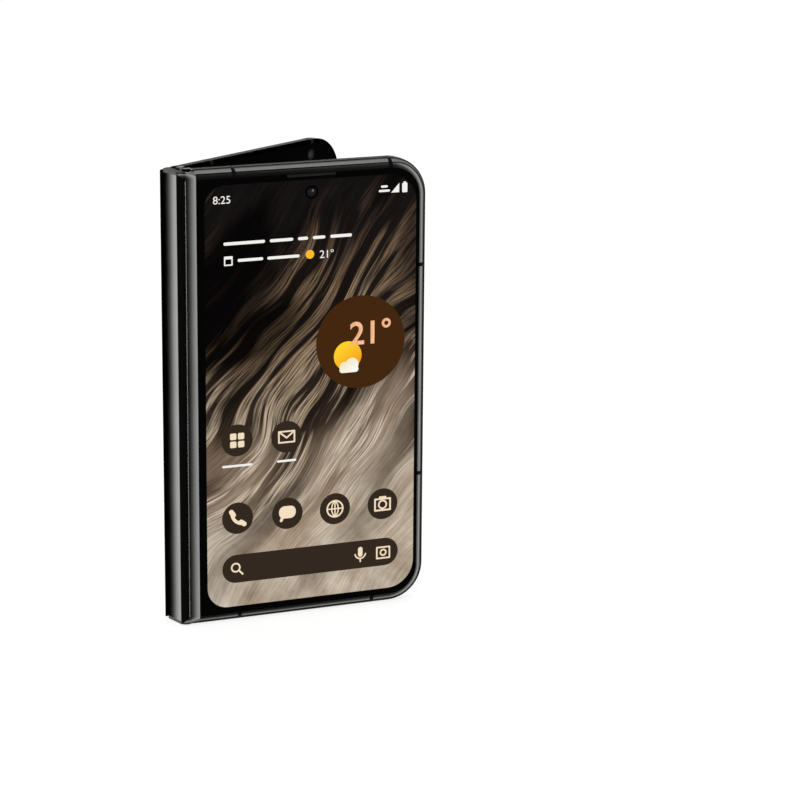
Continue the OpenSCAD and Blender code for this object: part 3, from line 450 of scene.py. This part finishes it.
# ---- Glass: outer glass, back glass and camera window ----
# The outer glass is printed black behind its clear face. The back glass is etched to a satin.
face_glass = calmed(finish("printed_glass", "#050506", "#070708", 0.06, spread=0.05,
                           grain_depth=0.0, specular=0.12))
dress(face_glass, "cover_glass", "camera_window")
satin_glass = calmed(finish("etched_glass", "#1b1b1c", "#202021", 0.38, spread=0.06,
                            grain_scale=9000, grain_depth=0.2, specular=0.14))
dress(satin_glass, "back_glass")

# ---- Displays under the outer glass and in the inner side ----
# Laminated panels, dark while they are off, with a clear hard coat.
panel_off = calmed(finish("panel_off", "#040405", "#050507", 0.12, spread=0.05,
                          grain_depth=0.05, specular=0.05))
dress(panel_off, "cover_display", "front_inner_display", "rear_inner_display",
      "front_fold_display", "rear_fold_display")

# ---- Inner bezels ----
# A thin moulded frame in black resin with a fine spark-eroded texture.
bezel_resin = finish("bezel_resin", "#090909", "#0d0d0d", 0.50, grain_scale=3500, grain_depth=0.5,
                     specular=0.0)
dress(bezel_resin, "front_bezel", "rear_bezel")
shroud_rubber = finish("shroud_rubber", "#080808", "#0c0c0c", 0.60, grain_scale=6000,
                       grain_depth=0.4, specular=0.0)

# ---- Lenses, earpiece and flash ----
# Black anodised lens barrels, a woven steel earpiece mesh and a frosted flash lens.
barrel_black = finish("barrel_black", "#0b0b0c", "#111113", 0.3, specular=0.15)
dress(barrel_black, "cover_camera", "main_camera", "wide_camera", "tele_camera")
woven_steel = finish("woven_steel", "#0e0e0f", "#222224", 0.5, smear_scale=3500, grain_scale=6000,
                     grain_depth=0.8, specular=0.1)
dress(woven_steel, "earpiece_mesh")
frosted_lens = finish("frosted_lens", "#e9e2c4", "#f4efd9", 0.35, grain_scale=1800, grain_depth=0.5)
dress(frosted_lens, "flash_lens")

# ---- Inner parts ----
# Foil-wrapped cells, green solder mask, enamelled copper.
foil = finish("cell_foil", "#2c2e33", "#383a40", 0.45, smear_scale=90)
dress(foil, "front_battery", "rear_battery", "loudspeaker")
solder_mask = finish("solder_mask", "#1c4a2e", "#22573a", 0.35, smear_scale=220)
dress(solder_mask, "front_board", "main_board")
enamelled = finish("enamelled_copper", "#b06f3c", "#c98a50", 0.35, smear_scale=500, metallic=1.0)
dress(enamelled, "charging_coil")

# ---- Screen picture ----
# The lit picture of the outer screen: a sheet just on the glass with the panel's round corners.
# Its pattern is long strokes of brown, cream and tan, dark at the top and pale below.
screen_low, screen_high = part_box("cover_display")
glass_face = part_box("cover_glass")[0].y
screen_w = screen_high.x - screen_low.x
screen_h = screen_high.z - screen_low.z
free_corner = 8.5 * MM
hinge_corner = 6.5 * MM
layer_step = 0.03 * MM


def edit(obj):
    """Opens a piece alone in edit mode."""
    bpy.ops.object.select_all(action="DESELECT")
    bpy.context.view_layer.objects.active = obj
    obj.select_set(True)
    bpy.ops.object.mode_set(mode="EDIT")


def settle(obj):
    """Back to object mode, with the piece's place moved into its mesh."""
    bpy.ops.object.mode_set(mode="OBJECT")
    bpy.ops.object.transform_apply(location=True, rotation=True, scale=True)
    return obj


def on_screen(s, t, layer=0):
    """The point s mm from the picture's left edge and t mm above its lower edge."""
    return Vector((screen_low.x + s * MM, glass_face - (layer + 1) * layer_step, screen_low.z + t * MM))


def flat_plate(name, s, t, length, height, layer, turn=0.0):
    """A rectangle in mm on the screen, facing out of it."""
    bpy.ops.object.select_all(action="DESELECT")
    bpy.ops.mesh.primitive_plane_add(
        size=1, location=on_screen(s, t, layer), rotation=(math.pi / 2, -turn, 0))
    plate = bpy.context.object
    plate.name = name
    plate.scale = (length * MM, height * MM, 1)
    bpy.ops.object.transform_apply(location=True, rotation=True, scale=True)
    return plate


def round_corners(plate, wanted, radius, segments=8):
    """Rounds the corners that wanted picks by their place."""
    edit(plate)
    mesh = bmesh.from_edit_mesh(plate.data)
    for vertex in mesh.verts:
        vertex.select_set(wanted(vertex.co))
    bmesh.update_edit_mesh(plate.data)
    bpy.ops.mesh.bevel(offset=radius, offset_type="OFFSET", segments=segments, affect="VERTICES",
                       profile=0.5)
    bpy.ops.object.mode_set(mode="OBJECT")


def thicken(piece, depth):
    """Gives a flat piece its thickness, grown inwards from its outer face."""
    bpy.ops.object.select_all(action="DESELECT")
    bpy.context.view_layer.objects.active = piece
    piece.select_set(True)
    solid = piece.modifiers.new("depth", "SOLIDIFY")
    solid.thickness = depth
    solid.offset = -1
    bpy.ops.object.modifier_apply(modifier=solid.name)


def lit(name, code, strength=1.0):
    """A lit screen colour behind clear glass."""
    material = bpy.data.materials.new(name)
    material.use_nodes = True
    shader = material.node_tree.nodes["Principled BSDF"]
    shader.inputs["Base Color"].default_value = (0, 0, 0, 1)
    shader.inputs["Roughness"].default_value = 0.1
    shader.inputs["Specular IOR Level"].default_value = 0.2
    shader.inputs["Emission Color"].default_value = linear(code)
    shader.inputs["Emission Strength"].default_value = strength
    return calmed(material)


picture = flat_plate("screen_picture", screen_w / MM / 2, screen_h / MM / 2, screen_w / MM,
                     screen_h / MM, 0)
round_corners(picture, lambda p: p.x > screen_high.x - MM, free_corner, 12)
round_corners(picture, lambda p: p.x < screen_low.x + MM, hinge_corner, 12)
thicken(picture, layer_step * 0.9)

picture_light = lit("picture_light", "#ffffff")
tree = picture_light.node_tree
shader = tree.nodes["Principled BSDF"]


def node(kind, **sockets):
    """A node of the picture's tree, with the values of its inputs."""
    made = tree.nodes.new(kind)
    for socket, value in sockets.items():
        made.inputs[socket.replace("_", " ")].default_value = value
    return made


def math_node(operation, *values, clamp=False):
    """A Math node fed by sockets or numbers."""
    made = tree.nodes.new("ShaderNodeMath")
    made.operation = operation
    made.use_clamp = clamp
    for i, value in enumerate(values):
        if isinstance(value, (int, float)):
            made.inputs[i].default_value = value
        else:
            tree.links.new(value, made.inputs[i])
    return made.outputs[0]


def blend_colours(factor, first, second, kind="MIX"):
    """A colour Mix node fed by sockets or colours."""
    made = tree.nodes.new("ShaderNodeMix")
    made.data_type = "RGBA"
    made.blend_type = kind
    for socket, value in (("Factor", factor), ("A", first), ("B", second)):
        if hasattr(value, "links"):
            tree.links.new(value, made.inputs[socket])
        else:
            made.inputs[socket].default_value = value
    return made.outputs["Result"]


def ramp(source, stops):
    """A Color Ramp of the picture's tree, from places to colour codes."""
    return stepped(tree, source, [(place, linear(code)) for place, code in stops])


def strokes(turn, length, width, detail, warp):
    """Noise drawn out along a direction, as brush strokes of a length and a width in metres."""
    mapping = tree.nodes.new("ShaderNodeMapping")
    mapping.vector_type = "TEXTURE"
    mapping.inputs["Rotation"].default_value = (0, -turn, 0)
    mapping.inputs["Scale"].default_value = (length, 1, width)
    tree.links.new(warp, mapping.inputs["Vector"])
    noise = node("ShaderNodeTexNoise", Scale=1, Detail=detail, Roughness=0.6)
    tree.links.new(mapping.outputs["Vector"], noise.inputs["Vector"])
    return noise.outputs["Fac"]


coordinates = tree.nodes.new("ShaderNodeTexCoord")
slow = node("ShaderNodeTexNoise", Scale=26, Detail=1)
tree.links.new(coordinates.outputs["Object"], slow.inputs["Vector"])
pushed = tree.nodes.new("ShaderNodeVectorMath")
pushed.operation = "MULTIPLY_ADD"
pushed.inputs[1].default_value = (0.020, 0.0, 0.020)
tree.links.new(slow.outputs["Color"], pushed.inputs[0])
tree.links.new(coordinates.outputs["Object"], pushed.inputs[2])
warped = pushed.outputs["Vector"]
stroke_turn = math.radians(52)
fibres = strokes(stroke_turn, 0.0120, 0.0004, 3, warped)
bands = strokes(stroke_turn, 0.0500, 0.0038, 2, warped)
patches = strokes(stroke_turn, 0.0600, 0.0140, 1, warped)
split = tree.nodes.new("ShaderNodeSeparateXYZ")
tree.links.new(coordinates.outputs["Object"], split.inputs["Vector"])
tilted = math_node("MULTIPLY_ADD", split.outputs["X"], -0.30, split.outputs["Z"])
height = node("ShaderNodeMapRange", From_Min=screen_low.z - 0.03, From_Max=screen_high.z + 0.01)
tree.links.new(tilted, height.inputs["Value"])
lowered = math_node("SUBTRACT", height.outputs["Result"], 0.29)
rough_height = math_node("MULTIPLY_ADD", patches, 0.50, lowered, clamp=True)
ground = ramp(rough_height, [(0.0, "#cbbaa4"), (0.26, "#b8a48d"), (0.38, "#8a7561"), (0.47, "#3a2d24"),
                             (0.60, "#211a16"), (0.78, "#171313"), (1.0, "#121011")])
light_strokes = ramp(rough_height, [(0.0, "#eee4d6"), (0.34, "#e6d8c4"), (0.52, "#d2bb9f"),
                                    (0.64, "#a3876a"), (0.76, "#4a3a2f"), (0.88, "#1c1715"),
                                    (1.0, "#151212")])
banded = ramp(bands, [(0.0, "#000000"), (0.47, "#000000"), (0.54, "#ffffff"), (1.0, "#ffffff")])
threads = ramp(fibres, [(0.0, "#1a1a1a"), (0.36, "#404040"), (0.60, "#e8e8e8"), (1.0, "#ffffff")])
cover = math_node("MULTIPLY", banded, threads)
painted = blend_colours(cover, ground, light_strokes)
shade = ramp(fibres, [(0.0, "#8c8c8c"), (0.40, "#d0d0d0"), (0.58, "#ffffff"), (1.0, "#ffffff")])
shaded = blend_colours(1.0, painted, shade, "MULTIPLY")
masses = strokes(stroke_turn * 0.9, 0.0900, 0.0200, 1, warped)
deep = ramp(masses, [(0.0, "#3c3632"), (0.43, "#4a423c"), (0.53, "#ffffff"), (1.0, "#ffffff")])
haze = node("ShaderNodeTexNoise", Scale=70, Detail=4, Roughness=0.55)
tree.links.new(warped, haze.inputs["Vector"])
down = ramp(haze.outputs["Fac"], [(0.0, "#7b6b5c"), (0.38, "#a18e7a"), (0.52, "#c2b29e"),
                                  (0.66, "#dccfbd"), (1.0, "#ebe2d3")])
soft_down = blend_colours(0.55, down, blend_colours(1.0, down, shade, "MULTIPLY"))
low_part = node("ShaderNodeMapRange", From_Min=0.44, From_Max=0.16, To_Max=0.78)
tree.links.new(rough_height, low_part.inputs["Value"])
darkened = blend_colours(0.85, shaded, blend_colours(1.0, shaded, deep, "MULTIPLY"))
whole_picture = blend_colours(low_part.outputs["Result"], darkened, soft_down)
tree.links.new(whole_picture, shader.inputs["Emission Color"])
picture.data.materials.append(picture_light)
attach(picture, "front_half")

# ---- Signs on the screen ----
# What a home screen shows, in plain signs: a clock, status marks, bars in place of words, a
# weather disc, round buttons and a search bar. Each group of signs is one lit piece.
disc_brown = "#33281f"
cream = "#f4dfc1"


def disc(name, s, t, radius, layer, sides=48):
    """A filled circle in mm on the screen, with a fine rim step."""
    bpy.ops.object.select_all(action="DESELECT")
    bpy.ops.mesh.primitive_circle_add(
        vertices=sides, radius=radius * MM, fill_type="NGON", location=on_screen(s, t, layer),
        rotation=(math.pi / 2, 0, 0))
    made = bpy.context.object
    made.name = name
    edit(made)
    bpy.ops.mesh.select_all(action="SELECT")
    bpy.ops.mesh.inset(thickness=radius * MM * 0.04)
    return settle(made)


def ring(name, s, t, radius, width, layer, sides=40):
    """A flat ring in mm on the screen: radius is to its outer edge."""
    bpy.ops.object.select_all(action="DESELECT")
    bpy.ops.mesh.primitive_circle_add(
        vertices=sides, radius=radius * MM, fill_type="NGON", location=on_screen(s, t, layer),
        rotation=(math.pi / 2, 0, 0))
    made = bpy.context.object
    made.name = name
    edit(made)
    bpy.ops.mesh.select_all(action="SELECT")
    bpy.ops.mesh.inset(thickness=width * MM)
    bpy.ops.mesh.delete(type="FACE")
    return settle(made)


def bar(name, s, t, length, height, layer, turn=0.0, roundness=1.0):
    """A bar with round ends, or with rounded corners where roundness is less than 1."""
    made = flat_plate(name, s, t, length, height, layer, turn)
    radius = min(length, height) / 2 * roundness * MM
    round_corners(made, lambda p: True, radius * 0.995, 6)
    return made


def stroke(name, points, width, layer):
    """Bars with round ends from point to point, in mm on the screen."""
    made = []
    for (s0, t0), (s1, t1) in zip(points, points[1:]):
        length = math.hypot(s1 - s0, t1 - t0)
        made.append(bar(name, (s0 + s1) / 2, (t0 + t1) / 2, length + width, width, layer,
                        math.atan2(t1 - t0, s1 - s0)))
    return made


def arc(s, t, radius, start, end, steps):
    """Points along an arc, in mm on the screen, with its angles in degrees."""
    turns = [math.radians(start + (end - start) * i / steps) for i in range(steps + 1)]
    return [(s + radius * math.cos(a), t + radius * math.sin(a)) for a in turns]


def digits(name, words, s, t, size, layer, weight=0.0):
    """Figures drawn as a flat mesh, with the middle of their foot at the point."""
    bpy.ops.object.select_all(action="DESELECT")
    bpy.ops.object.text_add()
    made = bpy.context.object
    made.name = name
    made.data.body = words
    made.data.size = size * MM
    made.data.offset = weight * MM
    made.data.align_x = "CENTER"
    bpy.ops.object.convert(target="MESH")
    made = bpy.context.object
    made.location = on_screen(s, t, layer)
    made.rotation_euler = (math.pi / 2, 0, 0)
    bpy.ops.object.transform_apply(location=True, rotation=True, scale=True)
    return made


def sign(name, pieces, material):
    """Joins flat pieces into one sign, gives it depth and fixes it to the screen."""
    bpy.ops.object.select_all(action="DESELECT")
    for piece in pieces:
        piece.select_set(True)
    bpy.context.view_layer.objects.active = pieces[0]
    if len(pieces) > 1:
        bpy.ops.object.join()
    whole = bpy.context.object
    whole.name = name
    thicken(whole, layer_step * 0.6)
    whole.data.materials.clear()
    whole.data.materials.append(material)
    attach(whole, "front_half")
    return whole


lit_white = lit("sign_white", "#f3f1ee")
lit_cream = lit("sign_cream", cream)
lit_brown = lit("sign_brown", disc_brown)
lit_deep_brown = lit("sign_deep_brown", "#42260f")
lit_peach = lit("sign_peach", "#f0b080")
lit_yellow = lit("sign_yellow", "#fbbc2a")
tint_way = (-0.6, 0, 0.8)


def lit_shaded(name, low_code, high_code, s, t, reach):
    """A lit colour that runs from one tint to another up and across a sign of some reach in mm."""
    material = lit(name, high_code)
    tree = material.node_tree
    shader = tree.nodes["Principled BSDF"]
    along = distance_along(tree, on_screen(s, t), tint_way)
    span = tree.nodes.new("ShaderNodeMapRange")
    span.inputs["From Min"].default_value = -reach * MM
    span.inputs["From Max"].default_value = reach * MM
    tree.links.new(along, span.inputs["Value"])
    tint = tree.nodes.new("ShaderNodeMix")
    tint.data_type = "RGBA"
    tint.inputs["A"].default_value = linear(low_code)
    tint.inputs["B"].default_value = linear(high_code)
    tree.links.new(span.outputs["Result"], tint.inputs["Factor"])
    tree.links.new(tint.outputs["Result"], shader.inputs["Emission Color"])
    return material


sign("clock_figures", [digits("clock", "8:25", 5.4, 124.7, 3.3, 1)], lit_white)
signal = flat_plate("signal", 60.3, 126.0, 2.6, 2.8, 1)
edit(signal)
mesh = bmesh.from_edit_mesh(signal.data)
corner = min(mesh.verts, key=lambda v: v.co.x - v.co.z)
bmesh.ops.delete(mesh, geom=[v for v in mesh.verts if v is corner], context="VERTS")
mesh.verts.ensure_lookup_table()
mesh.faces.new(mesh.verts[:])
bmesh.update_edit_mesh(signal.data)
bpy.ops.object.mode_set(mode="OBJECT")
sign("status_marks", [
    signal,
    bar("battery", 63.4, 125.9, 1.7, 2.9, 1, roundness=0.35),
    bar("battery_tip", 63.4, 127.5, 0.8, 0.5, 1, roundness=0.3),
    bar("network_mark", 56.8, 125.3, 3.6, 0.7, 1),
    bar("network_mark", 56.8, 126.6, 2.2, 0.7, 1),
], lit_white)
note_line = [(5.8, 13.0), (20.3, 7.4), (29.2, 3.2), (33.9, 4.0), (39.5, 6.9)]
sign("note_bars", [bar("note", s + length / 2, 112.6, length, 0.95, 1) for s, length in note_line],
     lit_white)
event = [
    bar("day_head", 7.3, 108.4, 2.7, 0.9, 1, roundness=0.5),
    bar("event", 14.2, 107.4, 8.0, 0.9, 1),
    bar("event", 24.6, 107.4, 10.2, 0.9, 1),
]
event += stroke("day_sheet", [(6.15, 108.4), (6.15, 106.2), (8.45, 106.2), (8.45, 108.4)], 0.4, 1)
event.append(digits("event_degrees", "21°", 38.4, 106.2, 3.4, 1))
sign("event_bars", event, lit_white)
sign("event_sun", [disc("event_sun", 33.0, 107.6, 1.35, 1, 24)], lit_yellow)

sign("weather_disc", [disc("weather_disc", 49.4, 79.4, 14.4, 1, 72)], lit_deep_brown)
sign("weather_figures", [digits("weather", "21°", 52.7, 78.7, 10.0, 2, 0.14)], lit_peach)
sign("weather_sun", [disc("weather_sun", 45.2, 75.4, 4.5, 2)],
     lit_shaded("sun_light", "#f59e1c", "#ffd52e", 45.2, 75.4, 4.5))
sign("weather_cloud", [
    disc("cloud", 44.2, 71.9, 1.7, 3, 24),
    disc("cloud", 46.6, 72.6, 2.1, 3, 24),
    bar("cloud", 45.6, 71.1, 6.2, 1.9, 3),
], lit_shaded("cloud_light", "#ffffff", "#efe3bd", 45.6, 71.6, 3.2))

button_r = 4.95
buttons = [(9.7, 52.3), (25.5, 51.9), (9.7, 27.9), (25.7, 27.7), (41.2, 27.5), (56.9, 27.4)]
sign("round_buttons", [disc("button", s, t, button_r, 1) for s, t in buttons], lit_brown)
sign("button_bars", [
    bar("label", 9.7, 44.4, 9.6, 0.7, 1),
    bar("label", 25.5, 44.4, 6.2, 0.7, 1),
], lit_white)
tiles, letter, call, speech, globe, photo = buttons
grid = [bar("tile", tiles[0] + a, tiles[1] + b, 2.0, 2.0, 2, roundness=0.4)
        for a in (-1.25, 1.25) for b in (-1.25, 1.25)]
envelope = stroke("envelope", [
    (letter[0] - 2.5, letter[1] - 1.7), (letter[0] + 2.5, letter[1] - 1.7),
    (letter[0] + 2.5, letter[1] + 1.7), (letter[0] - 2.5, letter[1] + 1.7),
    (letter[0] - 2.5, letter[1] - 1.7)], 0.5, 2)
envelope += stroke("flap", [
    (letter[0] - 2.5, letter[1] + 1.7), (letter[0], letter[1] - 0.3),
    (letter[0] + 2.5, letter[1] + 1.7)], 0.5, 2)
handset = stroke("handset", arc(call[0] + 1.7, call[1] + 1.7, 3.5, 188, 262, 7), 1.0, 2)
handset += stroke("earpiece_pad", [
    (call[0] - 2.0, call[1] + 2.1), (call[0] - 1.3, call[1] + 1.1)], 1.5, 2)
handset += stroke("mouth_pad", [
    (call[0] + 2.1, call[1] - 2.0), (call[0] + 1.1, call[1] - 1.3)], 1.5, 2)
bubble = [bar("bubble", speech[0], speech[1] + 0.4, 5.4, 3.9, 2, roundness=0.9)]
bubble += stroke("bubble_tail", [
    (speech[0] - 1.5, speech[1] - 0.9), (speech[0] - 2.0, speech[1] - 2.1)], 0.9, 2)
web = [ring("globe", globe[0], globe[1], 2.8, 0.5, 2)]
web += stroke("equator", [(globe[0] - 2.5, globe[1]), (globe[0] + 2.5, globe[1])], 0.4, 2)
web += stroke("meridian", [(globe[0], globe[1] - 2.5), (globe[0], globe[1] + 2.5)], 0.4, 2)
web += stroke("meridian", arc(globe[0] - 2.4, globe[1], 3.5, -44, 44, 6), 0.4, 2)
web += stroke("meridian", arc(globe[0] + 2.4, globe[1], 3.5, 136, 224, 6), 0.4, 2)
shutter = [ring("shutter", photo[0], photo[1] - 0.2, 1.5, 0.5, 2)]
shutter += stroke("camera_case", [
    (photo[0] - 2.5, photo[1] - 2.0), (photo[0] + 2.5, photo[1] - 2.0),
    (photo[0] + 2.5, photo[1] + 1.6), (photo[0] - 2.5, photo[1] + 1.6),
    (photo[0] - 2.5, photo[1] - 2.0)], 0.55, 2)
shutter.append(bar("camera_hump", photo[0], photo[1] + 2.0, 2.4, 0.9, 2, roundness=0.5))
sign("button_signs", grid + envelope + handset + bubble + web + shutter, lit_cream)

sign("search_bar", [bar("search", 33.4, 11.9, 57.4, 8.9, 1)], lit_brown)
seek = [ring("lens", 9.0, 12.3, 1.55, 0.5, 2)]
seek += stroke("handle", [(10.1, 11.2), (11.2, 10.1)], 0.55, 2)
mouth = [bar("mouthpiece", 49.6, 12.7, 1.5, 3.2, 2)]
mouth += stroke("mouth_cradle", arc(49.6, 12.3, 1.75, 190, 350, 8), 0.45, 2)
mouth += stroke("mouth_stem", [(49.6, 10.5), (49.6, 9.6)], 0.45, 2)
finder = [ring("finder_lens", 57.2, 11.7, 1.15, 0.5, 2)]
finder += stroke("finder_case", [
    (55.1, 9.9), (59.3, 9.9), (59.3, 13.4), (55.1, 13.4), (55.1, 9.9)], 0.5, 2)
sign("search_signs", seek + mouth + finder, lit_cream)

# ---- Rail beads ----
# Where each rail's flat meets its curved lip, a fine bead catches the light along the height.
bead_r = 0.10 * MM
bead_end_round = bead_r * 0.9
bead_end_gap = 2.8 * MM
rail_low, rail_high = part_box("front_hinge_rail")
bead_l = rail_high.z - rail_low.z - 2 * bead_end_gap
for half, out in (("front", front_out), ("rear", back_out)):
    bpy.ops.object.select_all(action="DESELECT")
    bpy.ops.mesh.primitive_cylinder_add(vertices=16, radius=bead_r, depth=bead_l)
    bead = bpy.context.object
    bead.name = half + "_rail_bead"
    edit(bead)
    bpy.ops.mesh.select_all(action="DESELECT")
    bpy.ops.mesh.select_mode(type="FACE")
    bpy.ops.mesh.select_face_by_sides(number=4, type="GREATER")
    bpy.ops.mesh.region_to_loop()
    bpy.ops.mesh.bevel(offset=bead_end_round, offset_type="OFFSET", segments=4, affect="EDGES")
    bpy.ops.object.mode_set(mode="OBJECT")
    bead.location = joint_at[half + "_fold"] + out * (lip_outer_r - bead_r / 4)
    bead.location.z = (rail_low.z + rail_high.z) / 2
    bpy.ops.object.transform_apply(location=True, rotation=True, scale=True)
    bpy.ops.object.shade_smooth_by_angle(angle=math.radians(40))
    bead.data.materials.append(bead_metal)
    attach(bead, half + "_half")

# ---- Outer camera ----
# A small camera behind a round hole in the picture: a black ring, then a coated lens that bulges,
# with a painted glint: a light grey disc off its middle that stands for a lamp's reflection.
cover_low, cover_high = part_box("cover_camera")
eye_s = ((cover_low.x + cover_high.x) / 2 - screen_low.x) / MM
eye_t = ((cover_low.z + cover_high.z) / 2 - screen_low.z) / MM
lens_coating = calmed(finish("lens_coating", "#0b0e1c", "#140f20", 0.05, spread=0.02,
                             grain_depth=0.0))


def lens_eye(name, radius, step, place, outward, rings, body):
    """A round window with stepped rings and a bulging lens, facing along outward.

    A ring is its share of the radius, its share of the step and its finish.
    """
    bpy.ops.object.select_all(action="DESELECT")
    bpy.ops.mesh.primitive_circle_add(vertices=64, radius=radius, fill_type="NGON")
    eye = bpy.context.object
    eye.name = name
    for _, _, material in rings:
        eye.data.materials.append(material)
    edit(eye)
    bpy.ops.mesh.select_all(action="SELECT")
    for i, (width, depth, _) in enumerate(rings):
        bpy.ops.mesh.inset(thickness=radius * width, depth=step * depth)
        eye.active_material_index = min(i + 1, len(rings) - 1)
        bpy.ops.object.material_slot_assign()
    bpy.ops.object.mode_set(mode="OBJECT")
    turn = Vector((0, 0, 1)).rotation_difference(Vector(outward))
    eye.rotation_mode = "QUATERNION"
    eye.rotation_quaternion = turn
    eye.location = place
    bpy.ops.object.transform_apply(location=True, rotation=True, scale=True)
    thicken(eye, layer_step * 0.5)
    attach(eye, body)
    return eye


eye_ring = finish("outer_camera_ring", "#020203", "#040405", 0.25, grain_depth=0.0, specular=0.02)
eye_glass = calmed(finish("outer_camera_glass", "#232326", "#2e2d31", 0.05, spread=0.02,
                          grain_depth=0.0))
# Light grey: a painted highlight, the lamp's reflection in the lens.
eye_painted_glint = calmed(finish("outer_camera_painted_glint", "#77777a", "#8c8b8d", 0.1, spread=0.05,
                          grain_depth=0.0))
lens_eye("outer_camera_eye", 2.05 * MM, 0.05 * MM, on_screen(eye_s, eye_t, 1), (0, -1, 0), [
    (0.36, 0.0, eye_ring), (0.10, -0.3, eye_glass), (0.12, 0.3, eye_ring), (0.14, 0.3, eye_glass)],
    "front_half")
# The painted glint: a small light disc up and to the right of the lens's middle.
lens_eye("outer_camera_painted_glint", 0.34 * MM, 0.01 * MM, on_screen(eye_s + 0.3, eye_t + 0.5, 2),
         (0, -1, 0), [(0.3, 0.3, eye_painted_glint), (0.3, 0.3, eye_painted_glint)], "front_half")

# ---- Inner camera ----
# The small camera in the inner frame's corner, nearly black under its window.
inner_dark = finish("inner_lens_black", "#040405", "#060607", 0.3, grain_depth=0.0, specular=0.02)
inner_coating = finish("inner_lens_coating", "#07080d", "#0a0810", 0.1, spread=0.02,
                       grain_depth=0.0, specular=0.05)
dress(inner_dark, "inner_camera")
inner_low, inner_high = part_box("inner_camera")
inner_half_t = 0.345 * MM
above_inner = 0.005 * MM
lens_eye("inner_camera_eye", 1.45 * MM, 0.04 * MM,
         (inner_low + inner_high) / 2 - back_out * (inner_half_t + above_inner), -back_out, [
             (0.30, 0.0, inner_dark), (0.12, -0.3, inner_dark), (0.2, -0.3, inner_coating),
             (0.2, 0.3, inner_coating)], "rear_half")

# ---- Cameras on the back ----
# Three lenses behind the bar's window: a stepped black barrel round a coated lens.
window_low, window_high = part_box("camera_window")
window_middle = (window_low + window_high) / 2
window_half_t = 0.35 * MM
above_window = 0.02 * MM
window_face = window_middle + back_out * (window_half_t + above_window)
back_eyes = {"main_camera": 4.9, "wide_camera": 4.1, "tele_camera": 4.3}
for name, radius in back_eyes.items():
    low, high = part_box(name)
    middle = (low + high) / 2
    middle.z = window_middle.z
    on_face = middle + back_out * ((window_face - middle) @ back_out)
    lens_eye(name + "_eye", radius * MM, 0.08 * MM, on_face, back_out, [
        (0.06, 0.3, black_metal), (0.16, -0.6, barrel_black), (0.22, -0.6, barrel_black),
        (0.12, 0.6, lens_coating), (0.12, 0.4, lens_coating), (0.1, 0.2, lens_coating)],
        "rear_half")

# ---- Bending screen ----
# The part of the inner screen over the hinge: each half's share is one soft sheet, shaped as it lies
# at this opening, which turns from the spine's direction to its half's. Above and below it a soft
# black shroud bends in the same way between the spine and each half's bezel.
fold_turn = (math.pi - open_angle) / 2
axis_depth = 2.225 * MM
fold_reach = 6.0 * MM
bezel_start = 3.3 * MM
sheet_top = 0.2 * MM
sheet_under = 1.1 * MM
shroud_top = 0.06 * MM
shroud_under = 0.36 * MM
shroud_inset = 0.3 * MM
sheet_low, sheet_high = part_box("front_fold_display")
bezel_low, bezel_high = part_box("front_bezel")
fold_steps = 28


def smooth(value):
    """A smooth ease from 0 to 1, which the sheet's turn follows across the hinge."""
    value = min(max(value, 0), 1)
    return value * value * (3 - 2 * value)


def bent(across, depth, part):
    """A point of the flat sheet after the spine's part of the turn, in the half's own drawing."""
    turn = (1 - part) * fold_turn
    x = across - axis_half
    y = depth - axis_depth
    return Vector((axis_half + x * math.cos(turn) - y * math.sin(turn),
                   axis_depth + x * math.sin(turn) + y * math.cos(turn)))


blend_start = bent(0, sheet_top, 0)
blend_end = bent(fold_reach, sheet_top, 1)
blend_way = blend_end - blend_start


def settled(across, depth):
    """Where the sheet's point lies at rest, its turn eased by its place between the blend's two ends.
    """
    low, high = 0.0, 1.0
    for _ in range(40):
        part = (low + high) / 2
        at = (bent(across, depth, part) - blend_start) @ blend_way / blend_way.length_squared
        if smooth(at) > part:
            low = part
        else:
            high = part
    return bent(across, depth, (low + high) / 2)


def in_front(flat, z):
    """A point of the half's drawing in the front half's place."""
    axis = joint_at["front_fold"]
    return Vector((axis.x + flat.x - axis_half, axis.y - (flat.y - axis_depth), z))


def in_rear(flat, z):
    """A point of the half's drawing in the rear half's place."""
    axis = joint_at["rear_fold"]
    at = axis + rear_way * (flat.x - axis_half) + back_out * (flat.y - axis_depth)
    return Vector((at.x, at.y, z))


def fold_strip(name, to_row, width, top, under, z_low, z_high, rows):
    """A soft strip from the fold line outwards, between two heights, blended over the hinge."""
    bpy.ops.object.select_all(action="DESELECT")
    bpy.ops.mesh.primitive_grid_add(x_subdivisions=fold_steps, y_subdivisions=rows, size=1)
    strip = bpy.context.object
    strip.name = name
    edit(strip)
    bpy.ops.mesh.select_all(action="SELECT")
    bpy.ops.mesh.extrude_region_move(TRANSFORM_OT_translate={"value": (0, 0, 1)})
    bpy.ops.object.mode_set(mode="OBJECT")
    for vertex in strip.data.vertices:
        across = (vertex.co.x + 0.5) * width
        depth = top + vertex.co.z * (under - top)
        z = z_low + (vertex.co.y + 0.5) * (z_high - z_low)
        vertex.co = to_row(settled(across, depth), z)
    edit(strip)
    bpy.ops.mesh.select_all(action="SELECT")
    bpy.ops.mesh.normals_make_consistent(inside=False)
    bpy.ops.object.mode_set(mode="OBJECT")
    bpy.ops.object.shade_smooth_by_angle(angle=math.radians(35))
    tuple(to_row(blend_start, 0))
    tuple(to_row(blend_end, 0))
    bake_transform(strip)
    return strip


for half, to_row in (("front", in_front), ("rear", in_rear)):
    screen = fold_strip(half + "_fold_screen", to_row, fold_reach, sheet_top, sheet_under,
                        sheet_low.z, sheet_high.z, 6)
    screen.data.materials.append(panel_off)
    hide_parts(half + "_fold_display")
    for end, z_low, z_high in (("lower", bezel_low.z + shroud_inset, sheet_low.z - layer_step),
                               ("upper", sheet_high.z + layer_step, bezel_high.z - shroud_inset)):
        shroud = fold_strip(half + "_" + end + "_shroud", to_row, bezel_start, shroud_top,
                            shroud_under, z_low, z_high, 2)
        shroud.data.materials.append(shroud_rubber)

# ---- Selection ----
# Every piece is left unselected.
bpy.ops.object.select_all(action="DESELECT")
